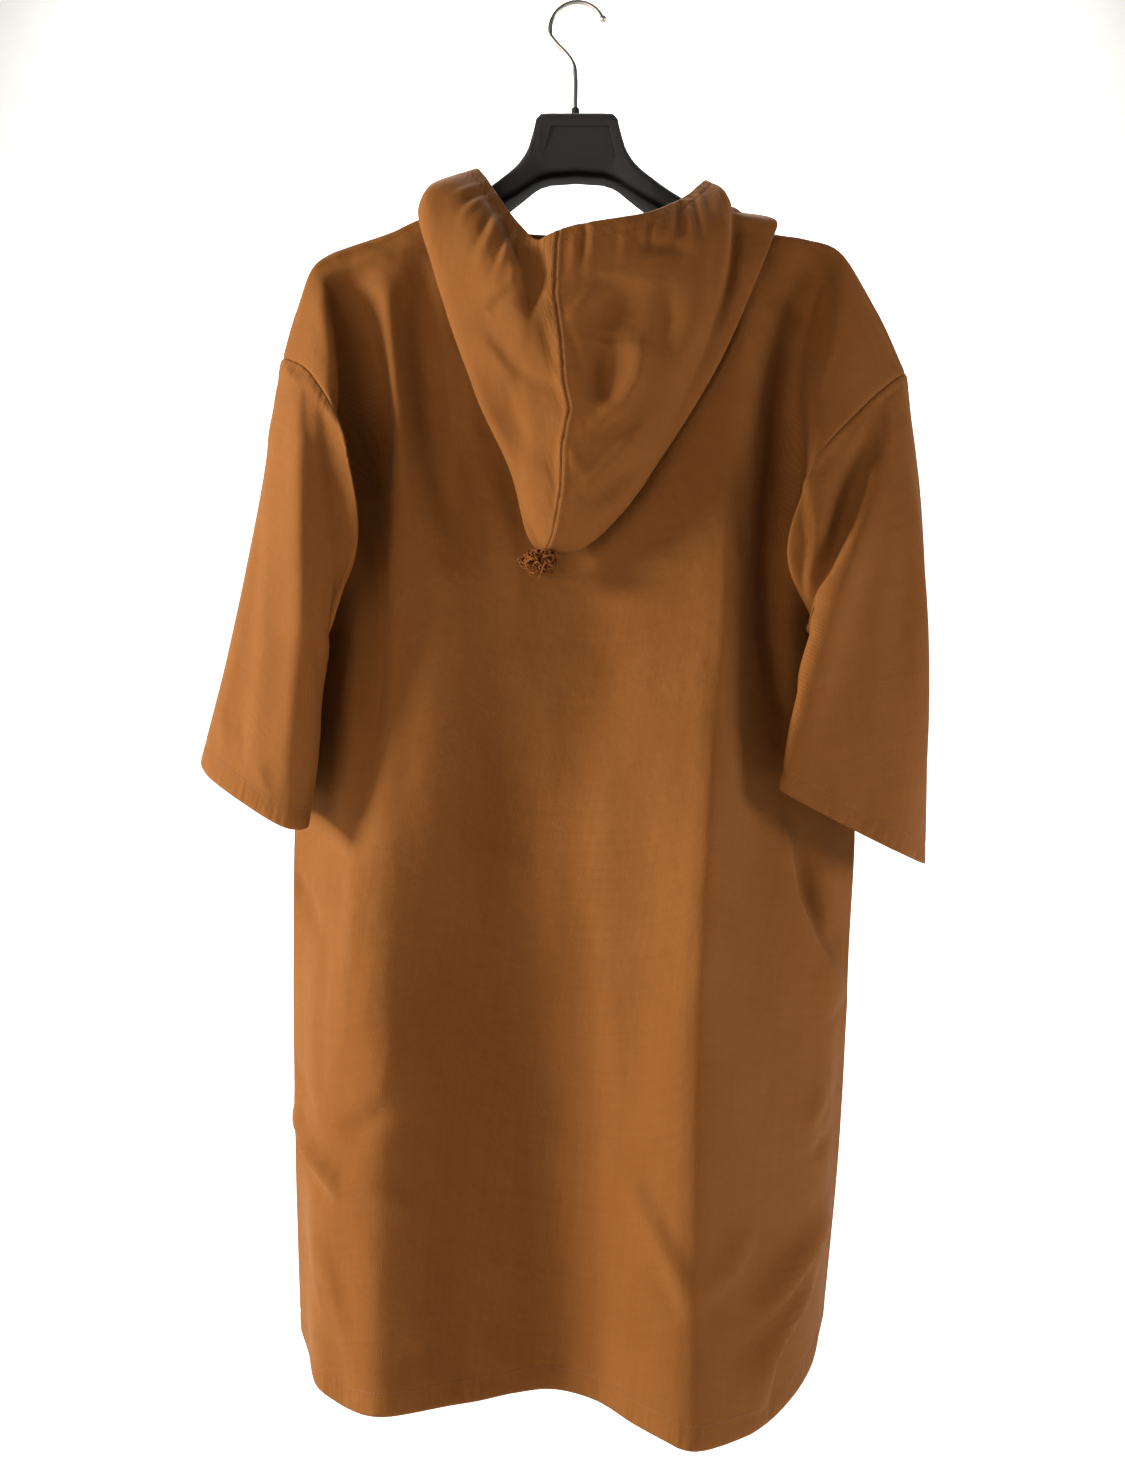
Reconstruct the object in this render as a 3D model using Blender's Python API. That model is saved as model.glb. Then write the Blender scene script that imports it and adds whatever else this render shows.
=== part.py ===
"""A knee-length hooded robe of brown cloth, hanging on a moulded coat hanger with a wire hook.

Metres, +Z up. The origin is the inside top of the hook, where a rod carries it. The robe's front faces -Y
and its back +Y, and +X is the wearer's left. Every piece of cloth is a wall of one thickness, laid through
a net of fold lines: the tables below have a row for each line, and their columns are places that it passes.
The tables and the heights beside them are in millimetres, which MM turns to metres.
"""

import math

import bpy
import numpy as np

MM = 0.001
CLOTH = 0.0020  # thickness of the body's and the sleeves' walls
HOOD_CLOTH = 0.0013  # thickness of the hood's wall, which folds tighter
SEAM_GAP = 0.0006  # clear space between two pieces that are sewn together
MITRE = 2.2  # the most that a sewn edge spreads, in half thicknesses
REST = 0.0028  # from the hanger's surface to the middle of the cloth that it carries

# Heights at which the body's fold lines are given, and the further heights that are read in between.
YOKE_Z, CHEST_Z, UNDERARM_Z, WAIST_Z = -270, -380, -500, -800
RIB_Z, BELOW_ARM_Z, HIP_Z, THIGH_Z = -440, -530, -650, -960

# The hanger's arm: distance from its middle, and the heights of its top and its underside there.
HANGER_PROFILE = (
    # out, top, underside
    (0, -97, -148),
    (22, -97, -149.5),
    (30, -97.2, -152),
    (34, -101, -154),
    (36, -108.5, -155.2),
    (40, -123, -158.2),
    (48, -137, -164),
    (59, -148, -171.5),
    (72, -158, -179.5),
    (90, -169.5, -189.5),
    (110, -181.5, -201),
    (130, -191, -210.5),
    (160, -202.2, -220.5),
    (185, -210.5, -229),
    (202, -216.5, -233.5),
    (209, -221, -233),
    (212.5, -225.5, -231),
)
HANGER_OUT, HANGER_TOP, HANGER_UNDERSIDE = np.array(HANGER_PROFILE).T * MM
ARM_HALF_DEPTH = 0.0190
PLATE_HALF_DEPTH = 0.0130
PLATE_OUT, ARM_OUT = 0.030, 0.062  # the hanger thickens between these distances from its middle
ARM_CORNER = 0.0070
CORNER_SHARE = 0.45  # the most that the corners take of the arm's height
END_TAPER = 0.0040

# Fold lines of the back, from the wearer's left: across and out at each height, and the hem's height.
BACK_FOLDS = (
    # name, yoke, chest, underarm, waist, hem, hem height
    ("left_cap", (198.6, 40), (178.5, 50), (188, 28), (207, 44), (198, 80), -1122),
    ("left_recess", (180, 26), (174, 34), (171, 42), (177, 70), (174, 95), -1121),
    ("left_ridge", (153.2, 40), (143.2, 55), (133.5, 70), (141.4, 100), (144.9, 126), -1120),
    ("left_shoulder", (128, 30), (111, 40), (98, 55), (100, 77), (94, 101), -1117),
    ("left_nape", (108, 29), (95, 38), (84, 52), (84, 72), (76, 95), -1116),
    ("left_mid", (75, 28), (68, 36), (60, 48.5), (58, 66), (49, 88), -1115),
    ("left_valley", (40, 28), (38, 35.5), (33, 47), (29, 64), (21, 85), -1115),
    ("centre", (0, 30), (-2, 39), (-6, 54), (-9, 78), (-12, 105), -1116),
    ("right_mid", (-45, 33), (-48, 46), (-50, 65), (-44, 101), (-41, 135), -1118),
    ("right_inner", (-85, 35), (-86, 52), (-85, 74), (-69, 121), (-62, 156), -1122),
    ("right_nape", (-112, 37), (-108, 56), (-104, 79), (-82, 129), (-73, 163), -1124),
    ("right_shoulder", (-135.7, 40), (-125, 59), (-116.9, 80), (-92, 130), (-85, 164), -1125),
    ("right_ridge", (-165.6, 30), (-155.9, 40), (-144, 55), (-141, 85), (-134, 126), -1126),
    ("right_recess", (-191.7, 23), (-175.4, 30), (-168.9, 37), (-186, 45), (-165, 90), -1124),
    ("right_cap", (-207.9, 38), (-178.5, 50), (-186, 26), (-207, 30), (-190, 42), -1120),
)
# Fold lines of the front, which is plainer.
FRONT_FOLDS = (
    # name, yoke, chest, underarm, waist, hem, hem height
    ("left_cap", (202, -36), (180, -40), (187, -20), (213, -42), (208, -50), -1114),
    ("left_recess", (182, -27), (178, -33), (177, -35), (182, -69), (178, -86), -1112),
    ("left_ridge", (158, -34), (152, -43), (146, -54), (140, -82), (134, -108), -1111),
    ("left_shoulder", (133, -30), (126, -36), (116, -43), (108, -64), (100, -85), -1109),
    ("left_nape", (116, -31), (108, -37), (98, -43), (89, -61), (80, -79), -1108),
    ("left_mid", (80, -40), (74, -44), (68, -49), (60, -64), (52, -80), -1108),
    ("left_valley", (43, -45), (40, -51), (36, -59), (30, -80), (25, -100), -1109),
    ("centre", (0, -48), (0, -56), (-2, -65), (-4, -88), (-6, -112), -1110),
    ("right_mid", (-43, -45), (-40, -50), (-38, -57), (-37, -74), (-37, -91), -1108),
    ("right_inner", (-80, -40), (-74, -43), (-70, -47), (-67, -62), (-65, -77), -1107),
    ("right_nape", (-116, -31), (-108, -37), (-101, -44), (-95, -66), (-90, -84), -1107),
    ("right_shoulder", (-133, -30), (-127, -38), (-119, -48), (-112, -74), (-106, -96), -1108),
    ("right_ridge", (-160, -33), (-154, -43), (-148, -55), (-140, -83), (-131, -107), -1109),
    ("right_recess", (-186, -27), (-180, -32), (-176, -35), (-179, -64), (-166, -80), -1109),
    ("right_cap", (-206, -34), (-181, -40), (-187, -20), (-208, -38), (-192, -45), -1108),
)
# Where the lines near the sleeves leave the shoulder seam, along the hanger's arm. The neck opening ends at
# the shoulder line. On the right the cloth rides higher over the arm.
TOPS_OUT = {"cap": 216, "recess": 189, "ridge": 159, "shoulder": 122}
RIGHT_LIFT = {"cap": 5, "recess": 4, "ridge": 1, "shoulder": 0}
# How such a line passes over the arm, from the shoulder seam: behind the arm's middle, and down from its top.
OVER_ARM = {
    "back": ((10, 0), (18.7, 3), (21.8, 10)),
    "front": ((10, 0), (-11, 0), (-18.7, 3), (-21.8, 10)),
}
FAN = (1.0, 1.022, 1.036, 1.046)  # the front's shoulder line leans outward by these shares as it turns over

# The armhole seam of each side, from the top of the sleeve to the underarm.
SLEEVE_TOP = {"left": (246.8, 4, -298.4), "right": (-275.7, 4, -311)}
UNDERARM = {"left": (212, 10, -496), "right": (-212, 10, -496)}
ARMHOLE = {
    "left back": ((237, 20, -304), (211.5, 48, -326), (185, 70, -372), (185, 58, -435)),
    "left front": ((240, -14, -306), (223, -38, -325), (198, -56, -372), (190, -47, -435)),
    "right back": ((-264, 20, -319), (-225, 50, -354), (-184, 72, -400), (-186, 56, -448)),
    "right front": ((-268, -14, -319), (-245, -40, -340), (-210, -56, -385), (-195, -46, -442)),
}
# The line of the body that follows just inside the armhole.
BESIDE_ARMHOLE = {
    "left back": (
        (234.5, 7, -260), (226, 26, -272), (207, 46, -298), (182, 60, -375), (184.5, 48, -438),
        (200, 19, -502),
    ),
    "left front": (
        (234.5, 7, -260), (231, -20, -272), (213, -39, -298), (190.5, -49, -376), (188, -40, -438),
        (202, -2, -502),
    ),
    "right back": (
        (-251, 7, -260), (-240, 27, -276), (-214, 47, -308), (-181.5, 62, -392), (-185, 47, -445),
        (-199, 18, -502),
    ),
    "right front": (
        (-251, 7, -260), (-248, -19, -274), (-226, -39, -305), (-199, -49, -384), (-190.5, -40, -442),
        (-201, -2, -502),
    ),
}
# The side seam below the underarm: across and out at the heights from BELOW_ARM_Z to the hem.
SIDE_SEAM = {
    "left": ((204, 3), (233, -4), (240.5, -10), (239, -11), (234, -10)),
    "right": ((-204, 3), (-233, -4), (-231, -10), (-223, -11), (-209, -10)),
}
SIDE_HEM_Z = {"left": -1116, "right": -1104}

# The neckline from beside the shoulder seam to the middle, on the left; the right is its mirror image.
BACK_NECK = ((115, 26.2, -198.5), (80, 26.2, -207), (40, 27.5, -213), (0, 28.5, -215))
FRONT_NECK = ((113, -26.5, -206), (80, -36, -235), (43, -43, -257), (0, -46, -264))

NECK_SHARES = {"back": (0.0, 0.15, 0.40), "front": (0.0, 0.10, 0.25, 0.50)}  # rows from there to the yoke
# Two lines of the front where the neckline turns down over the hanger's edge: their share of the way to the
# next fold line, and their first points as out, behind and drop from the arm's top.
FRONT_NECK_TURNS = (
    (0.3, ((121, -10, 0), (122.6, -16.8, 1.2), (124, -20.7, 6), (125.3, -22.2, 13.5))),
    (0.6, ((119, -19, 3.2), (120.6, -21.3, 8.5), (122.2, -22.3, 14), (124, -23.2, 24))),
)

# Lines down each sleeve, in order around it: their places at four rings between the armhole and the cuff.
SLEEVES = {
    "left": {
        "outer": ((260, 2, -375), (277.5, 0, -470), (296, -2, -560), (316.5, -8, -636)),
        "back_upper": ((250, 30, -385), (267, 34, -476), (284, 35, -568), (302, 30, -647)),
        "back_middle": ((218, 58, -402), (233, 63, -490), (251, 62, -583), (269, 60, -665)),
        "back_ridge": ((175, 77, -442), (183, 75, -516), (203, 69, -600), (226.5, 72, -687)),
        "inner": ((178, 67, -478), (187, 60, -538), (202, 51, -605), (213, 56, -686)),
        "underarm": ((231, 14.5, -508), (232, 22, -562), (236, 26, -615), (239, 22, -672)),
        "front_lower": ((203, -50, -490), (220, -46, -550), (236, -40, -612), (246, -34, -676)),
        "front_ridge": ((208, -66, -450), (226, -64, -525), (246, -58, -602), (264, -52, -673)),
        "front_middle": ((234, -50, -410), (251, -52, -500), (270, -50, -587), (288, -46, -660)),
        "front_upper": ((253, -24, -390), (270, -27, -482), (288, -29, -572), (307, -30, -647)),
    },
    "right": {
        "outer": ((-283.5, 2, -390), (-289.5, 0, -490), (-292.5, -4, -600), (-294, -8, -722)),
        "back_upper": ((-270, 36, -400), (-268, 44, -495), (-264, 46, -600), (-258, 46, -708)),
        "back_middle": ((-224, 65, -428), (-204.5, 79, -486), (-181, 88, -560), (-155.7, 90, -655.5)),
        "back_ridge": ((-169, 76, -465), (-172, 68, -518), (-176, 67, -582), (-170, 70, -660)),
        "inner": ((-175, 64, -490), (-185, 56, -542), (-192, 50, -598), (-191, 55, -668)),
        "underarm": ((-231, 14.5, -508), (-234, 19, -562), (-239, 15, -620), (-241, 10, -695)),
        "front_lower": ((-206, -48, -500), (-222, -45, -560), (-238, -40, -625), (-248, -34, -700)),
        "front_ridge": ((-222, -64, -460), (-236, -62, -545), (-250, -56, -625), (-262, -48, -706)),
        "front_middle": ((-254, -50, -430), (-262, -52, -520), (-270, -48, -615), (-277, -42, -714)),
        "front_upper": ((-276, -24, -402), (-281, -29, -498), (-284, -29, -600), (-288, -28, -718)),
    },
}

# The hood, from its middle seam round to the shoulder seam. The columns follow the cloth from the neck seam:
# rise and turn on the short stand, inner down the layer that lies on the back, under and foot round the
# lower fold, then ridge and crown up to the rim, which is the face edge.
HOOD_MIDDLE = (
    (0, 30, -208), (0, 37.5, -209.5), (10, 48, -330), (27, 60, -468), (28.3, 69, -470), (26.5, 80, -458),
    (19, 96, -335), (14, 85, -221.5),
)
HOOD_BACK = {
    "left": (
        # place along the neckline, then the columns
        (1, (
            (13.5, 30, -207.8), (13.5, 37, -209.3), (24, 47, -325), (37, 58.5, -456), (38.5, 67, -457),
            (37, 77, -445), (28, 95, -328), (20, 84.5, -224),
        )),
        (3, (
            (40, 29, -206), (40, 36, -207.5), (46, 43, -300), (51, 55.5, -406), (52.5, 64, -406),
            (49.5, 74, -393), (42, 92, -305), (31, 80, -226.5),
        )),
        (6, (
            (84, 27.7, -201), (84.2, 34.7, -202), (83, 40, -265), (78, 50, -337), (80, 59, -337),
            (75.5, 68, -325), (62, 82, -268), (45.6, 66, -210),
        )),
        (9, (
            (115.5, 29, -190), (117, 36, -190.5), (116.5, 42, -220), (111, 46, -249), (112.5, 55, -248),
            (108, 62, -238), (88, 64, -210), (65, 42, -176),
        )),
        (10.5, (
            (120.2, 22.5, -182.5), (123, 26.5, -179), (127.5, 30.5, -182), (129, 36, -188),
            (125.5, 44, -184), (119, 46.5, -176), (99, 42, -166), (75, 30, -157),
        )),
        (12, (
            (122.8, 11, -178), (123.5, 12.5, -173), (123.2, 14.5, -168.5), (122, 17, -165),
            (119.5, 19, -162), (115.5, 20.5, -159.5), (100, 22.5, -153), (82, 22, -147),
        )),
    ),
    "right": (
        (1, (
            (-13.5, 30, -207.8), (-13.5, 37, -209.3), (-15, 50, -325), (-2, 60, -463), (-3.5, 69, -465),
            (-3, 80, -452), (-1, 96, -330), (4, 84.5, -218),
        )),
        (3, (
            (-40, 29, -206), (-40, 36, -207.5), (-43, 49, -300), (-47, 60.5, -418), (-49, 69.5, -418),
            (-45.5, 79, -404), (-36, 95, -310), (-17, 84, -213.7),
        )),
        (6, (
            (-84, 27.7, -201), (-84.5, 34.7, -202), (-96, 46, -265), (-108, 55, -325), (-98.5, 66, -316),
            (-100.5, 75.5, -316), (-79, 88, -265), (-56.8, 74, -203),
        )),
        (9, (
            (-115.8, 29, -190), (-119, 36, -190.5), (-131, 41, -218), (-145, 46, -243), (-120, 56, -232),
            (-124.5, 65.5, -233), (-111, 69, -211), (-88, 48, -179.5),
        )),
        (10.5, (
            (-120.5, 22.5, -183), (-126.5, 28, -182), (-138, 33, -195), (-154, 36, -213), (-126, 47, -205),
            (-129, 56, -206), (-119, 57, -188), (-98, 39, -168),
        )),
        (12, (
            (-123.2, 12, -178.5), (-128, 14.5, -177.5), (-139, 19.5, -181.5), (-153, 27, -188),
            (-130, 38.5, -173.5), (-131, 48, -178), (-121.5, 45, -170), (-104.4, 30, -160),
        )),
    ),
}
# Over the shoulder and down the front the hood is a plain standing collar: its widest place and its edge.
HOOD_FRONT = {
    "left": (
        (13, ((128, -3, -162), (83, 9, -146))),
        (14, ((128, -15, -164), (82.5, -6, -147))),
        (15, ((123, -34, -172), (79, -21, -153))),
        (16, ((93, -48, -200), (58, -41, -183))),
        (18, ((48, -57, -233), (30, -52, -214))),
    ),
    "right": (
        (13, ((-132, -3, -160), (-103.5, 13, -158))),
        (14, ((-130, -15, -168), (-99, -4, -157))),
        (15, ((-123, -34, -176), (-90, -23, -160))),
        (16, ((-95, -49, -203), (-64, -42, -185))),
        (18, ((-48, -57, -233), (-32, -52, -214))),
    ),
}
HOOD_FRONT_MIDDLE = (19, ((0, -60, -250), (0, -56, -240)))

# The hook, across and up from the rod: its shaft, its curl, and the ball at its tip as distance along and
# radius.
HOOK_WIRE, HOOK_CURL = 4, 23  # thickness of the wire and radius of the curl
HOOK_SHAFT = ((1.2, -96.6), (1.2, -83), (1.2, -60), (3, -49.5), (9.1, -40.5), (16, -33.5))
CURL_MIDDLE = (-0.6, -21)
CURL_FROM, CURL_TO, CURL_STEP = -14, 151, 11  # degrees, from the right round over the top
HOOK_TIP = ((1.2, 2.7), (2.6, 3.1), (4.2, 2.7), (5.4, 1.4))
HOOK_STEPS, HOOK_SIDES, COLLAR_SIDES = (1, 2, 2, 2, 1), 8, 16
COLLAR_RINGS = ((3.4, -96.6), (3.4, -85), (3, -84), (2.3, -84), (2.3, -96.6))  # radius and height
POMPOM_CENTRE = (0.0295, 0.0700, -0.4771)
POMPOM_HEAD, POMPOM_REACH = 0.0055, 0.0130  # radius of the head, and of the strands' ends
STRAND_FOOT, STRAND_END = 0.45, 0.30  # widths of a strand, as shares of the face of the head that it grows on
STRAND_RISE = 0.25  # the share of its rise that a strand pointing up keeps
STRAND_UNEVEN, STRAND_SWAY = 0.20, 0.04  # shares of the reach by which strands differ and lean

# Steps of the walls between the lines of the tables.
BACK_DOWN = (1, 1, 2, 3, 2, 2, 1, 3, 3, 3, 3)
FRONT_DOWN = (1, 1, 1, 2, 3, 2, 2, 1, 3, 3, 3, 3)
BACK_ACROSS = (2,) * 5 + (3,) * 8 + (2,) * 5
FRONT_ACROSS = (2,) * 5 + (1, 1, 1, 1, 2, 1) + (1, 2, 1, 1, 1, 1) + (2,) * 5
SLEEVE_DOWN = (2, 3, 3, 2)
HOOD_AROUND = (1, 1, 1, 2, 1, 1, 3, 3)
BACK_ARMHOLE_ROWS, FRONT_ARMHOLE_ROWS = sum(BACK_DOWN[:6]), sum(FRONT_DOWN[:7])
ARMHOLE_SPANS = 5  # of each half of the armhole's table
HOOD_BEHIND, HOOD_AHEAD = 12, 7  # steps of the neckline for half of the hood, on the back and on the front
HOOD_MIDDLE_FRONT = HOOD_BEHIND + HOOD_AHEAD
COLLAR_SHARES = (0.0, 0.10, 0.20, 0.32, 0.44, 0.54, 0.64, 0.82, 1.0)  # the hood's columns where it stands
SEAM_SHARE = 0.55  # the line beside the side seam lies this share of the way to it from the cap line
NO_REACH = 1e-6
DEPTHWISE = np.array((0.0, 1.0, 0.0))


def spread(steps):
    """Places along a line: so many steps in each of its spans."""
    return np.concatenate([i + np.arange(n) / n for i, n in enumerate(steps)] + [[len(steps)]])


def curve(points, places, closed=False):
    """A smooth line through the points, read at places that count its spans."""
    points = np.asarray(points, float)
    count = len(points)
    if closed:
        held = np.vstack([points[-1], points, points[0], points[1]])
    else:
        held = np.vstack([2 * points[0] - points[1], points, 2 * points[-1] - points[-2]])
    knots = np.concatenate([[0], np.cumsum(np.linalg.norm(np.diff(held, axis=0), axis=1) ** 0.5 + 1e-9)])
    line = []
    for place in places:
        i = min(int(place), (count if closed else count - 1) - 1)
        share = place - i
        p0, p1, p2, p3 = held[i : i + 4]
        t0, t1, t2, t3 = knots[i : i + 4]
        leave = (t2 - t1) * ((p1 - p0) / (t1 - t0) - (p2 - p0) / (t2 - t0) + (p2 - p1) / (t2 - t1))
        reach = (t2 - t1) * ((p2 - p1) / (t2 - t1) - (p3 - p1) / (t3 - t1) + (p3 - p2) / (t3 - t2))
        a = share * share * (3 - 2 * share)
        line.append((1 - a) * p1 + a * p2 + share * (1 - share) * ((1 - share) * leave - share * reach))
    return np.array(line)


def read_table(places, values, at):
    """A smooth value between the places of a short table."""
    order = np.argsort(places)
    places, values = np.asarray(places, float)[order], np.asarray(values, float)[order]
    slopes = np.gradient(values, places)
    i = int(np.clip(np.searchsorted(places, at) - 1, 0, len(places) - 2))
    width = places[i + 1] - places[i]
    share = np.clip((at - places[i]) / width, 0, 1)
    a = share * share * (3 - 2 * share)
    bend = share * (1 - share) * ((1 - share) * slopes[i] - share * slopes[i + 1])
    return (1 - a) * values[i] + a * values[i + 1] + width * bend


def arm_top(out):
    return np.interp(np.abs(out), HANGER_OUT, HANGER_TOP)


def arm_underside(out):
    return np.interp(np.abs(out), HANGER_OUT, HANGER_UNDERSIDE)


def arm_depth(out):
    return np.interp(np.abs(out), (PLATE_OUT, ARM_OUT), (PLATE_HALF_DEPTH, ARM_HALF_DEPTH))


def off_the_arm(grid):
    """Lifts the cloth's points clear of the hanger's arm."""
    moved = grid.copy()
    x, y, z = moved[..., 0], moved[..., 1], moved[..., 2]
    top, low = arm_top(x), arm_underside(x)
    middle, half = (top + low) / 2, (top - low) / 2
    corner = np.minimum(ARM_CORNER, (top - low) * CORNER_SHARE)
    over = np.maximum(np.abs(y) - (arm_depth(x) - corner), 0)
    up = np.maximum(np.abs(z - middle) - (half - corner), 0)
    reach = np.hypot(over, up)
    near = np.abs(x) < HANGER_OUT[-1] + REST
    outside = near & (reach > NO_REACH) & (reach < corner + REST)
    scale = np.where(outside, (corner + REST) / np.maximum(reach, NO_REACH), 1.0)
    y[...] = np.where(outside, np.sign(y) * (arm_depth(x) - corner + over * scale), y)
    z[...] = np.where(outside, middle + np.sign(z - middle) * (half - corner + up * scale), z)
    inside = near & (reach <= NO_REACH)
    z[...] = np.where(inside, top + REST, z)
    return moved


def on_arm(out, behind, drop):
    """A point of the cloth over the hanger's arm, from distances in millimetres."""
    return (out * MM, behind * MM, float(arm_top(out * MM)) + REST - drop * MM)


def fold_points(folds, name):
    """A fold line's points at each height below the shoulder."""
    row = next(fold for fold in folds if fold[0] == name)
    heights = (YOKE_Z, CHEST_Z, UNDERARM_Z, WAIST_Z, row[6])
    across, out = [place[0] for place in row[1:6]], [place[1] for place in row[1:6]]
    levels = (YOKE_Z, CHEST_Z, RIB_Z, UNDERARM_Z, BELOW_ARM_Z, HIP_Z, WAIST_Z, THIGH_Z, row[6])
    line = [(read_table(heights, across, z), read_table(heights, out, z), z) for z in levels]
    return [tuple(MM * np.array(point)) for point in line]


def shoulder_points(name, face):
    """The start of a line that lies over the hanger's arm."""
    side, kind = name.split("_")
    out = TOPS_OUT[kind] * (1 if side == "left" else -1)
    lift = 0 if side == "left" else RIGHT_LIFT[kind]
    lean = FAN if (kind, face) == ("shoulder", "front") else (1.0,) * len(FAN)
    return [on_arm(out * wider, behind, drop - lift) for wider, (behind, drop) in zip(lean, OVER_ARM[face])]


def neck_points(top, first, face):
    """The start of a line that hangs from the neckline."""
    top, first = MM * np.array(top), np.array(first)
    return [tuple(top + (first - top) * share) for share in NECK_SHARES[face]]


def edge_lines(side, face):
    """The sewn edge beside the sleeve and down the side, and the line that follows just inside it."""
    down = BACK_DOWN[:6] if face == "back" else FRONT_DOWN[:7]
    places = np.concatenate([[0], np.cumsum(down)]) / sum(down) * ARMHOLE_SPANS
    key = side + " " + face
    edge = list(curve(MM * np.array([SLEEVE_TOP[side], *ARMHOLE[key], UNDERARM[side]]), places))
    beside = list(curve(MM * np.array(BESIDE_ARMHOLE[key]), places))
    levels = (BELOW_ARM_Z, HIP_Z, WAIST_Z, THIGH_Z, SIDE_HEM_Z[side])
    cap = fold_points(BACK_FOLDS if face == "back" else FRONT_FOLDS, side + "_cap")[4:]
    for (x, y), z, inner in zip(SIDE_SEAM[side], levels, cap):
        seam = MM * np.array((x, y, z))
        edge.append(seam)
        beside.append(SEAM_SHARE * seam + (1 - SEAM_SHARE) * np.array(inner))
    return edge, beside


def blend(first, second, share):
    return [tuple((1 - share) * np.array(a) + share * np.array(b)) for a, b in zip(first, second)]


def panel(face, finer=1):
    """The front or the back as a grid: rows go down, columns from the wearer's left side to the right."""
    folds, neck = (BACK_FOLDS, BACK_NECK) if face == "back" else (FRONT_FOLDS, FRONT_NECK)
    lines = []
    for side in ("left", "right"):
        half = [*edge_lines(side, face)]
        for kind in ("cap", "recess", "ridge", "shoulder"):
            name = side + "_" + kind
            half.append(shoulder_points(name, face) + fold_points(folds, name))
        if face == "front":
            sign = 1 if side == "left" else -1
            below, beyond = fold_points(folds, side + "_shoulder"), fold_points(folds, side + "_nape")
            for share, turns in FRONT_NECK_TURNS:
                start = [on_arm(sign * out, behind, drop) for out, behind, drop in turns]
                half.append(start + blend(below, beyond, share))
        names = ("nape", "mid", "valley") if side == "left" else ("nape", "inner", "mid")
        for kind, top in zip(names, neck):
            lower = fold_points(folds, side + "_" + kind)
            top = top if side == "left" else (-top[0], top[1], top[2])
            half.append(neck_points(top, lower[0], face) + lower)
        if side == "left":
            lower = fold_points(folds, "centre")
            lines = half + [neck_points(neck[-1], lower[0], face) + lower]
        else:
            lines += half[::-1]
    down = spread(np.array(BACK_DOWN if face == "back" else FRONT_DOWN) * finer)
    across = spread(np.array(BACK_ACROSS if face == "back" else FRONT_ACROSS) * finer)
    columns = np.array([curve(line, down) for line in lines])
    return off_the_arm(np.array([curve(row, across) for row in columns.transpose(1, 0, 2)]))


def sleeve(side, back, front, finer=1):
    """A sleeve as a grid of rings, whose first ring is the armhole edge of the two panels."""
    column = 0 if side == "left" else -1
    rows_back, rows_front = BACK_ARMHOLE_ROWS * finer, FRONT_ARMHOLE_ROWS * finer
    ring = np.vstack([back[:rows_back, column], front[rows_front:0:-1, column]])
    half_round = [np.arange(rows) / rows * ARMHOLE_SPANS for rows in (rows_back, rows_front)]
    places = np.concatenate([half_round[0], ARMHOLE_SPANS + half_round[1]])
    lines = MM * np.array(list(SLEEVES[side].values()))
    rings = [ring] + [curve(lines[:, k], places, closed=True) for k in range(lines.shape[1])]
    down = spread(np.array(SLEEVE_DOWN) * finer)
    grid = np.array([curve(line, down) for line in np.array(rings).transpose(1, 0, 2)]).transpose(1, 0, 2)
    return grid if side == "left" else grid[:, ::-1]


def hood(side, back, front, finer=1):
    """Half of the hood as a grid: rows leave the neck seam, columns go round from the middle of the back."""
    middle, middle_front = back.shape[1] // 2, front.shape[1] // 2
    around, ahead = HOOD_BEHIND * finer, HOOD_AHEAD * finer
    if side == "left":
        behind = back[0, middle - around : middle + 1][::-1]
        before = front[0, middle_front - ahead + 1 : middle_front + 1]
    else:
        behind = back[0, middle : middle + around + 1]
        before = front[0, middle_front : middle_front + ahead][::-1]
    neckline = np.vstack([behind, before])
    stations, lines = [0], [[neckline[0], *MM * np.array(HOOD_MIDDLE)]]
    for place, points in HOOD_BACK[side]:
        stations.append(place)
        start = (neckline[int(place * finer)] + neckline[math.ceil(place * finer)]) / 2
        lines.append([start, *MM * np.array(points)])
    for place, points in (*HOOD_FRONT[side], HOOD_FRONT_MIDDLE):
        stations.append(place)
        start, (wide, rim) = neckline[place * finer], MM * np.array(points)
        lines.append([(1 - t) ** 2 * start + 2 * t * (1 - t) * wide + t * t * rim for t in COLLAR_SHARES])
    rows = np.array([curve(line, spread(np.array(HOOD_AROUND) * finer)) for line in lines])
    places = np.interp(np.arange(HOOD_MIDDLE_FRONT * finer + 1) / finer, stations, np.arange(len(stations)))
    grid = np.array([curve(row, places) for row in rows.transpose(1, 0, 2)])
    grid[0] = neckline
    grid[1:] = off_the_arm(grid[1:])
    return grid if side == "left" else grid[:, ::-1]


def panels(finer=1):
    """The back and the front, with one line for the shoulder seam that joins them."""
    back_grid, front_grid = panel("back", finer), panel("front", finer)
    shared = sum(BACK_ACROSS[:5]) * finer + 1
    front_grid[0, :shared], front_grid[0, -shared:] = back_grid[0, :shared], back_grid[0, -shared:]
    return back_grid, front_grid


def grid_normals(grid, closed):
    """Outward directions of a grid: the mean of the faces around each point."""
    around = np.concatenate([grid, grid[:, :1]], axis=1) if closed else grid
    facing = np.cross(around[1:, 1:] - around[:-1, :-1], around[:-1, 1:] - around[1:, :-1])
    facing /= np.linalg.norm(facing, axis=2, keepdims=True) + 1e-12
    normals = np.zeros(around.shape)
    normals[:-1, :-1] += facing
    normals[1:, :-1] += facing
    normals[:-1, 1:] += facing
    normals[1:, 1:] += facing
    if closed:
        normals[:, 0] += normals[:, -1]
        normals = normals[:, :-1]
    return normals / (np.linalg.norm(normals, axis=2, keepdims=True) + 1e-12)


def inward(edge, inner):
    towards = inner - edge
    return towards / np.linalg.norm(towards, axis=-1, keepdims=True) * SEAM_GAP / 2


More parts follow.
